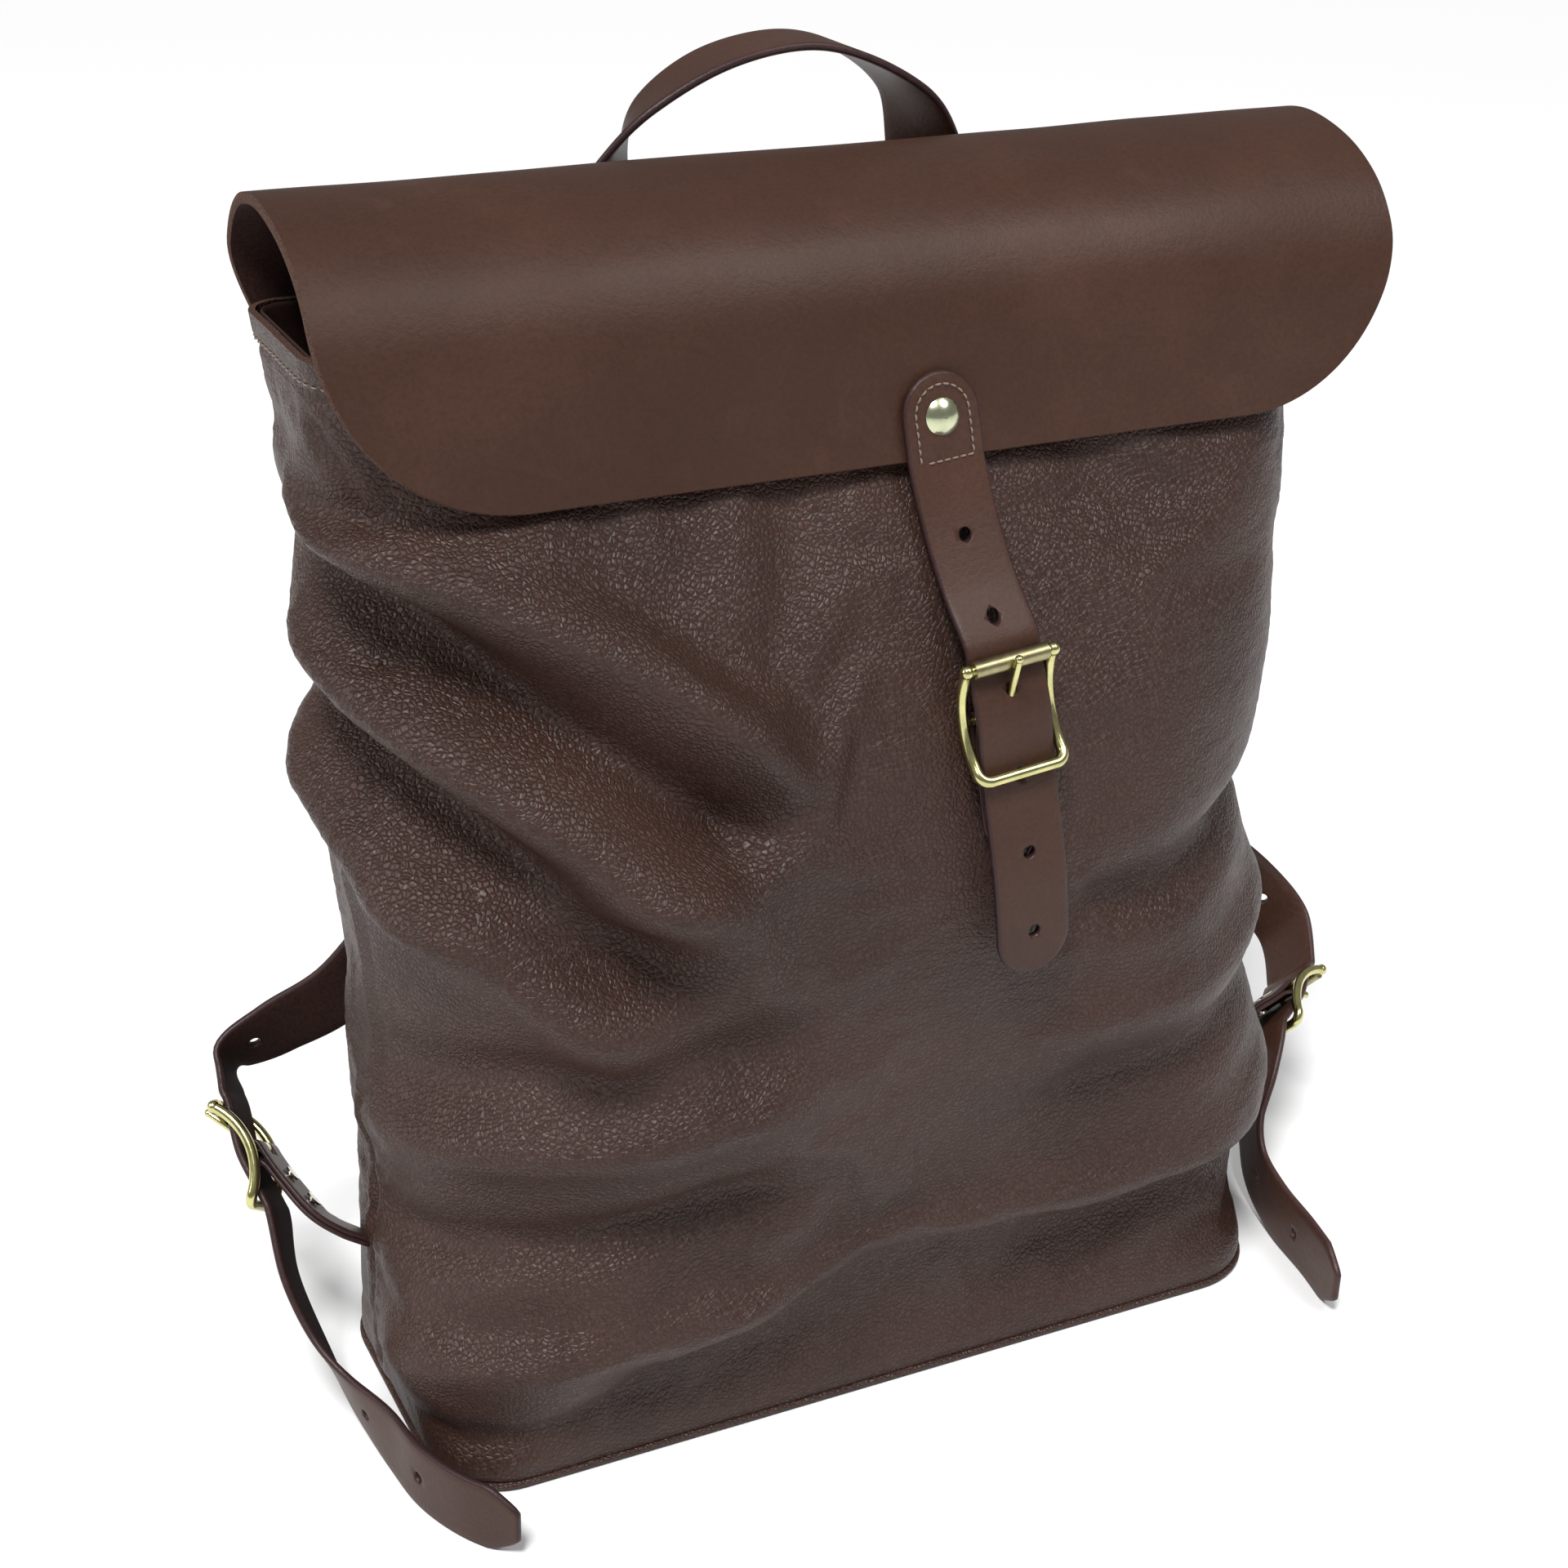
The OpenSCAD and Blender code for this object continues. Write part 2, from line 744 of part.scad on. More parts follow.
chape_start = mid_y + chape_t / 2;
left_chape = [left_at([0, chape_start, -0.4]), left_at([0, mid_y + 3.2, -8]),
  left_at([0, mid_y + 6, -17]), left_at([0, mid_y + 10.5, -29]), [-180.8, 33, 61],
  [-178.8, 36.5, 53]];
left_chape_w = [lw, lw, lw, lw, [-0.25, -0.85, 0.45], [-0.1, -0.95, 0.3]];
right_chape = [right_at([0, chape_start, -0.4]), right_at([0, mid_y + 3.2, -8]),
  right_at([0, mid_y + 6, -17]), right_at([0, mid_y + 10.5, -29]), [182.5, 12, 62],
  [179.5, 16.5, 54.5]];
right_chape_w = [rw, rw, rw, rw, [0.2, -0.8, 0.5], [0.1, -0.9, 0.35]];
chape_w = strap_w - 1.5;

module side_chape(side, pts, wid) {
  f = frames(pts, wid);
  color(strap_c)
    difference() {
      union() {
        at_side_buckle(side)
          chape_loop(chape_w);
        ribbon(pts, wid, chape_w, chape_t);
      }
      at_side_buckle(side)
        translate([-strap_w, mid_y, 0])
          rotate([0, 90, 0])
            cylinder(r = bar_r + bore_play, h = 2 * strap_w, $fn = 24);
      at_side_buckle(side)
        tongue_slot(12, 4.2);
      for (i = chape_stations)
        at_station(f[i])
          rivet_bore();
    }
}

chape_stations = [8, 13];

module chape_left() {
  side_chape(-1, left_chape, left_chape_w);
}

module chape_right() {
  side_chape(1, right_chape, right_chape_w);
}

// Out of the chape: away from the strap tail that passes in front of it.
module side_chape_rivets(pts, wid) {
  f = frames(pts, wid);
  color(steel_c)
    for (i = chape_stations)
      at_station(f[i])
        translate([0, 0, chape_t / 2 + 0.5])
          rivet(chape_t + 1.1, 3.8, 1, 3);
}

module chape_rivets_left() {
  side_chape_rivets(left_chape, left_chape_w);
}

module chape_rivets_right() {
  side_chape_rivets(right_chape, right_chape_w);
}

module buckle_left() {
  color(brass_c)
    at_side_buckle(-1)
      buckle_frame();
}

module roller_left() {
  color(brass_c)
    at_side_buckle(-1)
      buckle_roller();
}

module tongue_left() {
  color(brass_c)
    at_side_buckle(-1)
      buckle_tongue();
}

module buckle_right() {
  color(brass_c)
    at_side_buckle(1)
      buckle_frame();
}

module roller_right() {
  color(brass_c)
    at_side_buckle(1)
      buckle_roller();
}

module tongue_right() {
  color(brass_c)
    at_side_buckle(1)
      buckle_tongue();
}

front_panel();
back_panel();
gusset_left();
gusset_right();
base_panel();
base_board();
mouth_facing();
flap_rear();
flap_front();
closure_strap();
closure_stitching();
closure_rivet();
front_chape();
front_chape_rivets();
front_buckle();
front_roller();
front_tongue();
handle_tabs();
handle_loop();
handle_rivets();
strap_yoke();
yoke_rivets();
strap_left();
chape_left();
chape_rivets_left();
buckle_left();
roller_left();
tongue_left();
strap_right();
chape_right();
chape_rivets_right();
buckle_right();
roller_right();
tongue_right();
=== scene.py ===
import math
import random
import bpy
import bmesh
import numpy as np
from mathutils import Matrix, Vector, noise


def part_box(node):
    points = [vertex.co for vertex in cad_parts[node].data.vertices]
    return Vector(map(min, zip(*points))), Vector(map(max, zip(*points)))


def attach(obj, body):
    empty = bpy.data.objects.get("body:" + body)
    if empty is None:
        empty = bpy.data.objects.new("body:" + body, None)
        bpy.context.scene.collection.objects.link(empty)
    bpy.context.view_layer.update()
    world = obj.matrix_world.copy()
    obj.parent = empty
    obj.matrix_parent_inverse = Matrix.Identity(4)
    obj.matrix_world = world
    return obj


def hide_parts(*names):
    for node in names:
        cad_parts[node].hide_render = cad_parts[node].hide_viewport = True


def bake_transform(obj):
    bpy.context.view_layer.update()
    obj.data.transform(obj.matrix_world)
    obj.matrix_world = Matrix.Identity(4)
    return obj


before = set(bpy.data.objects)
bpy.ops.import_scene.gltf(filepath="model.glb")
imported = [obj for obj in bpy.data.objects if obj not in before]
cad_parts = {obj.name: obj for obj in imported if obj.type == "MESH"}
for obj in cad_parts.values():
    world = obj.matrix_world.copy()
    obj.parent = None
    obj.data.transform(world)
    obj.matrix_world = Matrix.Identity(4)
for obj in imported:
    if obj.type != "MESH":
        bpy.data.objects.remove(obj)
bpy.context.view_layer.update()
MM = 0.001
random.seed(7)

# ---- body outline, millimetres ----
FRONT_LINE = [(-66, 2.8), (-69, 40), (-76, 90), (-83, 140), (-88.5, 190), (-87.2, 235), (-80, 275),
              (-67.5, 305), (-53, 332), (-42, 352), (-35, 372), (-31, 395)]
BACK_LINE = [(62, 2.8), (46, 395)]
BASE_HALF = 171.0
MOUTH_Z = 395.0


def catmull(points, steps):
    """Catmull-Rom curve through the points, with that many steps to a span."""
    p = np.asarray(points, float)
    out = []
    for i in range(len(p) - 1):
        a, b, c, d = p[max(i - 1, 0)], p[i], p[i + 1], p[min(i + 2, len(p) - 1)]
        for k in range(steps):
            t = k / steps
            out.append(0.5 * (2 * b + (c - a) * t + (2 * a - 5 * b + 4 * c - d) * t * t
                              + (3 * b - a - 3 * c + d) * t ** 3))
    out.append(p[-1])
    return np.array(out)


def smooth(a, b, x):
    t = np.clip((np.asarray(x, float) - a) / (b - a), 0, 1)
    return t * t * (3 - 2 * t)


front_curve = catmull(FRONT_LINE, 8)


def front_y(z):
    return np.interp(z, front_curve[:, 1], front_curve[:, 0])


def back_y(z):
    return np.interp(z, [BACK_LINE[0][1], BACK_LINE[1][1]], [BACK_LINE[0][0], BACK_LINE[1][0]])


N_BACK, N_ARC, N_SIDE, N_FRONT = 34, 12, 16, 68


# Half widths and corner radii of the outline at a few heights.
Z_KEYS = [0, 60, 130, 210, 300, 345, 375, 395]
HALF_LEFT = [170, 171, 171, 173, 176, 180, 184, 186]
HALF_RIGHT = [168, 172, 170, 165, 168, 175, 181, 183]
ROUND_LEFT = [26, 60, 90, 104, 84, 54, 28, 16]
ROUND_RIGHT = [30, 52, 86, 110, 88, 58, 28, 16]
BACK_ROUND_LEFT = [30, 40, 38, 30, 26, 20, 16, 12]
BACK_ROUND_RIGHT = [24, 28, 28, 28, 24, 20, 16, 12]


def section(z):
    """Outline at height z as x, y: from the middle of the back over the left side, front and right side."""
    yf, yb = front_y(z), back_y(z)
    sides = []
    for widths, fronts, backs in ((HALF_LEFT, ROUND_LEFT, BACK_ROUND_LEFT),
                                  (HALF_RIGHT, ROUND_RIGHT, BACK_ROUND_RIGHT)):
        hw, rf, rb = (np.interp(z, Z_KEYS, v) for v in (widths, fronts, backs))
        pts = [(t * (hw - rb), yb) for t in np.arange(N_BACK) / N_BACK]
        for a in math.pi / 2 * np.arange(N_ARC) / N_ARC:
            pts.append((hw - rb + rb * math.sin(a), yb - rb + rb * math.cos(a)))
        for t in np.arange(N_SIDE) / N_SIDE:
            pts.append((hw, (yb - rb) + t * ((yf + rf) - (yb - rb))))
        for a in math.pi / 2 * np.arange(N_ARC) / N_ARC:
            pts.append((hw - rf + rf * math.cos(a), yf + rf - rf * math.sin(a)))
        half = N_FRONT // 2
        for k in range(half + 1):
            pts.append(((hw - rf) * (1 - k / half), yf))
        sides.append(np.array(pts))
    left, right = sides
    return np.vstack([left * [-1, 1], right[1:-1][::-1]])


FRONT_MIDDLE = N_BACK + N_ARC + N_SIDE + N_ARC + N_FRONT // 2


def girth(ring):
    """Distance round the outline from the middle of the front, negative to the left."""
    run = np.r_[0, np.cumsum(np.linalg.norm(np.diff(ring[:, :2], axis=0), axis=1))]
    return run - run[FRONT_MIDDLE]


# ---- soft folds of the body, drawn on the leather laid flat: (girth, height) in millimetres ----
# They follow from the part's own pieces: the mouth, the front buckle, the base and the two sides.
SIDE_MIDDLE = {-1: N_BACK + N_ARC + N_SIDE // 2, 1: -(N_BACK + N_ARC + N_SIDE // 2)}
BUCKLE_LO = np.array(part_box("front_buckle")[0]) / MM
BASE_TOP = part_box("base_panel")[1][2] / MM
FLAP_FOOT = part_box("flap_front")[0][2] / MM
# Parallel rolls hang from the flap's lower edge at the left towards the buckle, proud and hollow by turns.
ROLL_COUNT, ROLL_STEP, ROLL_HEIGHT, ROLL_SPREAD, ROLL_BOW, ROLL_GAP = 5, 26, 16, 12, 15, 45
# Shallow waves cross each half of the front below the buckle, all climbing to the right.
WAVE_COUNT, WAVE_HEIGHT, WAVE_SPREAD, WAVE_CLIMB, WAVE_GAP, WAVE_BOW = 5, 8, 12, 25, 35, 5
WAVE_STEP = (BUCKLE_LO[2] - BASE_TOP) / (WAVE_COUNT + 1)
WAVE_SHIFT, WAVE_LEAST, WAVE_MOST = 12, 0.5, 1.3
# The flap's lower edge and the closure strap hold the folds flat beneath them.
PRESSED_ROOM, PRESS_FADE, STRAP_PATH, STRAP_HOLD = 2.5, 25, 22, 0.75
BACK_WAVE, BACK_WAVE_LENGTH = 3.0, 115.0
# The front is tucked in over the stiff base, higher in the middle and right than at the left corner.
TUCK_LEFT_Z, TUCK_Z, TUCK_DEPTH = WAVE_STEP / 2, 1.5 * WAVE_STEP, 6.5
# Each side seam leaves the mouth near the front corner and drifts back on its way down: shares of the depth.
SEAM_TOP, SEAM_FOOT = MOUTH_Z - 20, BASE_TOP + 8
SEAM_TOP_SHARE, SEAM_LOW_SHARE = 0.2, 0.6
SEAM_DEPTH, SEAM_SPREAD = 1.6, 2.4
HEM_DEPTH = 10
# Where the leather is held still: two coordinates of the middle, then the reach along each.
BUCKLE_HOLD, YOKE_HOLD, STRAP_END_HOLD = (14, 262, 26, 36), (338, 0, 34, 58), (45, 30, 20, 22)
# Stitches: pitch, length and width of the thread.
SEAM_STITCH, HEM_STITCH = (4.2, 3.0, 0.7), (3.9, 2.9, 0.75)
BOX_STITCH, YOKE_STITCH = (2.8, 2.5, 0.8), (3.6, 2.8, 0.75)
HOLE_R, PRONG_HOLE_R = 2.3, 2.1
BODY_T, FLAP_T, STRAP_T, STRAP_W = 2.2, 3.6, 2.6, 25.0
ROW_STEP = 3.2


def nearest_on(points, line):
    """Distance from each point to a polyline, and how far along it that is, 0 to 1."""
    line = np.asarray(line, float)
    lengths = np.linalg.norm(np.diff(line, axis=0), axis=1)
    total, start = lengths.sum(), np.r_[0, np.cumsum(lengths)]
    best, where = np.full(len(points), 1e9), np.zeros(len(points))
    for k in range(len(lengths)):
        d = line[k + 1] - line[k]
        t = np.clip((points - line[k]) @ d / max(d @ d, 1e-12), 0, 1)
        dist = np.linalg.norm(points - line[k] - t[:, None] * d, axis=1)
        closer = dist < best
        best[closer] = dist[closer]
        where[closer] = (start[k] + t[closer] * lengths[k]) / total
    return best, where


def snapped(points, line):
    """The line's points moved onto the nearest of these surface points."""
    fine = catmull(line, 6)
    return np.array([points[np.argmin(np.linalg.norm(points - q, axis=1))] for q in fine])


def fractal(points, size, octaves=2):
    """Smooth noise, about -1 to 1, with features of that size."""
    out = np.zeros(len(points))
    for k in range(octaves):
        s = size / 2 ** k
        out += np.array([noise.noise(Vector(p / s)) for p in points]) / 2 ** k
    return out


def grid_normals(g, closed):
    dv = np.gradient(g, axis=0)
    du = (np.roll(g, -1, 1) - np.roll(g, 1, 1)) if closed else np.gradient(g, axis=1)
    n = np.cross(dv, du)
    return n / (np.linalg.norm(n, axis=2, keepdims=True) + 1e-12)


# ---- materials ----
def srgb(r, g, b):
    return tuple(((c / 255 + 0.055) / 1.055) ** 2.4 if c > 10 else c / 255 / 12.92 for c in (r, g, b)) + (1,)


def new_material(name):
    m = bpy.data.materials.new(name)
    m.use_nodes = True
    nt = m.node_tree
    shader = nt.nodes["Principled BSDF"]
    coords = nt.nodes.new("ShaderNodeTexCoord")
    return m, nt, shader, coords.outputs["Object"]


def node(nt, kind, **inputs):
    n = nt.nodes.new(kind)
    for key, value in inputs.items():
        n.inputs[key.replace("_", " ")].default_value = value
    return n


def noise_tex(nt, coords, scale, detail=3.0, rough=0.55):
    n = node(nt, "ShaderNodeTexNoise", Scale=scale, Detail=detail, Roughness=rough)
    nt.links.new(coords, n.inputs["Vector"])
    return n.outputs["Fac"]


def ramp(nt, fac, stops):
    r = nt.nodes.new("ShaderNodeValToRGB")
    el = r.color_ramp.elements
    el[0].position, el[0].color = stops[0]
    el[1].position, el[1].color = stops[-1]
    for pos, col in stops[1:-1]:
        e = el.new(pos)
        e.color = col
    nt.links.new(fac, r.inputs["Fac"])
    return r.outputs["Color"]


def maths(nt, op, a, b):
    m = nt.nodes.new("ShaderNodeMath")
    m.operation = op
    for i, v in enumerate((a, b)):
        if isinstance(v, (int, float)):
            m.inputs[i].default_value = v
        else:
            nt.links.new(v, m.inputs[i])
    return m.outputs[0]


def mix(nt, fac, a, b):
    m = nt.nodes.new("ShaderNodeMix")
    m.data_type = "RGBA"
    for key, v in ((0, fac), (6, a), (7, b)):
        if isinstance(v, (int, float, tuple)):
            m.inputs[key].default_value = v
        else:
            nt.links.new(v, m.inputs[key])
    return m.outputs[2]


def grey(v):
    return (v, v, v, 1)


def bump(nt, shader, height, strength, distance):
    b = node(nt, "ShaderNodeBump", Strength=strength, Distance=distance)
    nt.links.new(height, b.inputs["Height"])
    nt.links.new(b.outputs["Normal"], shader.inputs["Normal"])


def pebbled(name, low, mid, high, rough=0.43, grain_mm=1.9, depth=0.0006):
    """Full-grain leather: pebbles with dark creases between them (painted shade in the creases), worn paler
    on the high spots.
    """
    m, nt, shader, co = new_material(name)
    warp = nt.nodes.new("ShaderNodeVectorMath")
    warp.operation = "MULTIPLY_ADD"
    wn = node(nt, "ShaderNodeTexNoise", Scale=160.0, Detail=2.0)
    nt.links.new(co, wn.inputs["Vector"])
    nt.links.new(wn.outputs["Color"], warp.inputs[0])
    warp.inputs[1].default_value = (0.0022,) * 3
    nt.links.new(co, warp.inputs[2])
    cells = nt.nodes.new("ShaderNodeTexVoronoi")
    cells.feature = "DISTANCE_TO_EDGE"
    cells.inputs["Scale"].default_value = 1000 / grain_mm
    nt.links.new(warp.outputs[0], cells.inputs["Vector"])
    pebble = ramp(nt, cells.outputs["Distance"], [(0.0, grey(0)), (0.09, grey(0.45)), (0.3, grey(1))])
    patch = ramp(nt, noise_tex(nt, co, 14.0, 3.0), [(0.3, grey(0)), (0.7, grey(1))])
    smooth_area = ramp(nt, noise_tex(nt, co, 9.0, 2.0), [(0.35, grey(0.75)), (0.62, grey(1))])
    base = mix(nt, patch, low, mid)
    speck = ramp(nt, noise_tex(nt, co, 420.0, 2.0), [(0.45, grey(0)), (0.75, grey(1))])
    base = mix(nt, maths(nt, "MULTIPLY", speck, 0.14), base, high)
    # painted shade: the creases between the pebbles are darkened towards a deep brown
    crease_shaded = mix(nt, maths(nt, "MULTIPLY", maths(nt, "SUBTRACT", 1.0, pebble), 0.4), base,
                  tuple(c * 0.35 for c in low[:3]) + (1,))
    nt.links.new(crease_shaded, shader.inputs["Base Color"])
    fine = noise_tex(nt, co, 1500.0, 2.0)
    height = maths(nt, "ADD", maths(nt, "MULTIPLY", pebble, smooth_area), maths(nt, "MULTIPLY", fine, 0.18))
    bump(nt, shader, height, 0.6, depth)
    r = maths(nt, "ADD", maths(nt, "MULTIPLY", noise_tex(nt, co, 60.0, 3.0), 0.16), rough - 0.08)
    nt.links.new(r, shader.inputs["Roughness"])
    shader.inputs["Specular IOR Level"].default_value = 0.34
    return m


def waxed(name, low, mid, high, rough=0.46, scuffs=0.5, depth=0.00018):
    """Smooth waxed leather: cloudy colour, tiny pores darkened into dark specks by painted shade, and pale
    rubs.
    """
    m, nt, shader, co = new_material(name)
    cloud = ramp(nt, noise_tex(nt, co, 7.0, 5.0, 0.62), [(0.28, low), (0.52, mid), (0.78, high)])
    pores = ramp(nt, noise_tex(nt, co, 650.0, 3.0, 0.7), [(0.36, grey(0)), (0.6, grey(1))])
    # painted shade: the sunken pores are darkened
    colour = mix(nt, maths(nt, "MULTIPLY", maths(nt, "SUBTRACT", 1.0, pores), 0.3), cloud,
                 tuple(c * 0.6 for c in low[:3]) + (1,))
    rub = ramp(nt, noise_tex(nt, co, 38.0, 6.0, 0.75), [(0.58, grey(0)), (0.8, grey(1))])
    colour = mix(nt, maths(nt, "MULTIPLY", rub, scuffs), colour, high)
    nt.links.new(colour, shader.inputs["Base Color"])
    height = maths(nt, "ADD", maths(nt, "MULTIPLY", pores, 0.5), noise_tex(nt, co, 190.0, 4.0))
    bump(nt, shader, height, 0.5, depth)
    r = maths(nt, "ADD", maths(nt, "MULTIPLY", noise_tex(nt, co, 25.0, 4.0), 0.2), rough - 0.1)
    nt.links.new(r, shader.inputs["Roughness"])
    shader.inputs["Specular IOR Level"].default_value = 0.28
    return m


def fibrous(name, dark, light, rough=0.9, size=900.0, depth=0.0004):
    """Suede side or cut edge: matt, with a nap of short fibres."""
    m, nt, shader, co = new_material(name)
    fibres = noise_tex(nt, co, size, 4.0, 0.75)
    colour = mix(nt, ramp(nt, fibres, [(0.35, grey(0)), (0.7, grey(1))]), dark, light)
    nt.links.new(colour, shader.inputs["Base Color"])
    bump(nt, shader, fibres, 0.7, depth)
    shader.inputs["Roughness"].default_value = rough
    shader.inputs["Specular IOR Level"].default_value = 0.2
    return m


def metal(name, colour, dark, rough=0.2):
    """Cast and tumbled metal with faint tarnish and soft handling marks."""
    m, nt, shader, co = new_material(name)
    tarnish = ramp(nt, noise_tex(nt, co, 140.0, 5.0, 0.65), [(0.42, grey(0)), (0.75, grey(1))])
    nt.links.new(mix(nt, maths(nt, "MULTIPLY", tarnish, 0.55), colour, dark), shader.inputs["Base Color"])
    r = maths(nt, "ADD", maths(nt, "MULTIPLY", noise_tex(nt, co, 320.0, 4.0), 0.22), rough - 0.08)
    nt.links.new(r, shader.inputs["Roughness"])
    bump(nt, shader, noise_tex(nt, co, 700.0, 3.0), 0.25, 0.00006)
    shader.inputs["Metallic"].default_value = 1
    return m


def threaded(name, dark, light):
    m, nt, shader, co = new_material(name)
    twist = noise_tex(nt, co, 2200.0, 2.0)
    nt.links.new(mix(nt, twist, dark, light), shader.inputs["Base Color"])
    bump(nt, shader, twist, 0.6, 0.0001)
    shader.inputs["Roughness"].default_value = 0.65
    return m


BODY = pebbled("body_leather", srgb(52, 33, 26), srgb(66, 43, 35), srgb(90, 62, 52))
FLAP = waxed("flap_leather", srgb(54, 33, 24), srgb(64, 40, 29), srgb(80, 53, 41))
STRAP = waxed("strap_leather", srgb(57, 35, 27), srgb(68, 44, 34), srgb(86, 58, 47), rough=0.46)
EDGE = waxed("burnished_edge", srgb(44, 27, 28), srgb(56, 36, 36), srgb(84, 60, 56), rough=0.4, scuffs=0.8)
RAW = fibrous("cut_edge", srgb(48, 32, 27), srgb(96, 72, 60), size=1400.0)
SUEDE = fibrous("suede_side", srgb(34, 17, 15), srgb(58, 36, 30))
FACING = waxed("facing_leather", srgb(44, 28, 24), srgb(56, 37, 31), srgb(74, 52, 44), rough=0.6)
BOARD = fibrous("fibre_board", srgb(70, 58, 46), srgb(110, 94, 76), size=500.0)
BRASS = metal("aged_brass", srgb(212, 207, 146), srgb(140, 137, 82), rough=0.17)
ROLLER = metal("tarnished_roller", srgb(172, 164, 126), srgb(96, 90, 66), rough=0.32)
DOME = metal("pale_dome", srgb(208, 212, 178), srgb(160, 164, 130), rough=0.2)
NICKEL = metal("nickel", srgb(216, 210, 196), srgb(150, 140, 122), rough=0.16)
TAN = threaded("tan_thread", srgb(92, 76, 64), srgb(148, 130, 114))
DARK = threaded("dark_thread", srgb(38, 24, 20), srgb(66, 46, 38))


# ---- mesh building ----
def finish_mesh(name, verts_mm, faces, mats, face_mats=None, angle=50.0):
    me = bpy.data.meshes.new(name)
    me.from_pydata([tuple(np.asarray(v, float) * MM) for v in verts_mm], [], faces)
    for m in mats:
        me.materials.append(m)
    if face_mats is not None:
        me.polygons.foreach_set("material_index", np.asarray(face_mats, np.int32))
    bm = bmesh.new()
    bm.from_mesh(me)
    bmesh.ops.recalc_face_normals(bm, faces=bm.faces)
    bm.to_mesh(me)
    bm.free()
    me.polygons.foreach_set("use_smooth", [True] * len(me.polygons))
    me.set_sharp_from_angle(angle=math.radians(angle))
    o = bpy.data.objects.new(name, me)
    bpy.context.scene.collection.objects.link(o)
    return o


EDGE_STEPS = 4


def slab(name, grid, t, mats, edge_out=0.3, n=None):
    """A closed sheet of thickness t round a grid of middle points, with rounded edges.

    mats are the materials of the outer face, the edge and the inner face."""
    g = np.asarray(grid, float)
    nv, nu = g.shape[:2]
    n = grid_normals(g, False) if n is None else n
    t = np.broadcast_to(np.asarray(t, float), (nv, nu))[..., None]
    outer, inner = g + n * t / 2, g - n * t / 2
    loop = ([(0, j) for j in range(nu)] + [(i, nu - 1) for i in range(1, nv)]
            + [(nv - 1, j) for j in range(nu - 2, -1, -1)] + [(i, 0) for i in range(nv - 2, 0, -1)])
    li, lj = np.array([a for a, _ in loop]), np.array([b for _, b in loop])
    ring, rn, rt = g[li, lj], n[li, lj], t[li, lj]
    tangent = np.roll(ring, -1, 0) - np.roll(ring, 1, 0)
    out = np.cross(tangent, rn)
    out /= np.linalg.norm(out, axis=1, keepdims=True) + 1e-12
    inward = g[np.clip(li, 1, nv - 2), np.clip(lj, 1, nu - 2)] - ring
    out *= np.where((out * inward).sum(1) > 0, -1, 1)[:, None]
    verts = [outer.reshape(-1, 3), inner.reshape(-1, 3)]
    for k in range(1, EDGE_STEPS):
        a = math.pi * k / EDGE_STEPS
        verts.append(ring + rn * rt / 2 * math.cos(a) + out * rt * edge_out * math.sin(a))
    size, m = nv * nu, len(loop)
    faces, mat = [], []
    for i in range(nv - 1):
        for j in range(nu - 1):
            a, b, c, d = i * nu + j, (i + 1) * nu + j, (i + 1) * nu + j + 1, i * nu + j + 1
            faces += [(a, b, c, d), (size + d, size + c, size + b, size + a)]
            mat += [0, 2]
    first = li * nu + lj
    rings = [first] + [2 * size + k * m + np.arange(m) for k in range(EDGE_STEPS - 1)] + [size + first]
    for r0, r1 in zip(rings, rings[1:]):
        for k in range(m):
            q = (k + 1) % m
            faces.append((int(r0[k]), int(r0[q]), int(r1[q]), int(r1[k])))
            mat.append(1)
    return finish_mesh(name, np.vstack(verts), faces, mats, mat)


def tube_mesh(name, grid, mats):
    """A closed ring of rows, each row a closed loop."""
    g = np.asarray(grid, float)
    nv, nu = g.shape[:2]
    faces = []
    for i in range(nv):
        for j in range(nu):
            q, r = (j + 1) % nu, (i + 1) % nv
            faces.append((i * nu + j, i * nu + q, r * nu + q, r * nu + j))
    return finish_mesh(name, g.reshape(-1, 3), faces, mats)


def cylinder_faces(centre, axis, r, length, sides=20):
    a = np.asarray(axis, float) / np.linalg.norm(axis)
    u = np.cross(a, [0.3, 0.5, 0.81])
    u /= np.linalg.norm(u)
    v = np.cross(a, u)
    c = np.asarray(centre, float)
    verts = [c + s * a * length / 2 + r * (math.cos(t) * u + math.sin(t) * v)
             for s in (-1, 1) for t in 2 * math.pi * np.arange(sides) / sides]
    faces = [(k, (k + 1) % sides, sides + (k + 1) % sides, sides + k) for k in range(sides)]
    return verts, faces + [tuple(range(sides))[::-1], tuple(range(sides, 2 * sides))]


def punch(obj, holes, edge=1):
    """Cuts round holes, each (centre, axis, radius), in millimetres."""
    verts, faces = [], []
    for c, a, r in holes:
        v, f = cylinder_faces(c, a, r, 9.0)
        faces += [tuple(len(verts) + k for k in x) for x in f]
        verts += v
    cutter = finish_mesh("cutter", verts, faces, [])
    mod = obj.modifiers.new("holes", "BOOLEAN")
    mod.operation, mod.solver, mod.object = "DIFFERENCE", "EXACT", cutter
    bake(obj)
    bpy.data.objects.remove(cutter)
    me = obj.data
    for c, a, r in holes:
        c, a = Vector(np.asarray(c, float) * MM), Vector(a).normalized()
        for p in me.polygons:
            d = p.center - c
            if (d - a * d.dot(a)).length < r * MM * 1.02 and abs(p.normal.dot(a)) < 0.5:
                p.material_index = edge
    return obj


def bake(obj):
    """Applies every modifier."""
    dg = bpy.context.evaluated_depsgraph_get()
    dg.update()
    me = bpy.data.meshes.new_from_object(obj.evaluated_get(dg))
    obj.modifiers.clear()
    obj.data = me
    me.polygons.foreach_set("use_smooth", [True] * len(me.polygons))
    return obj


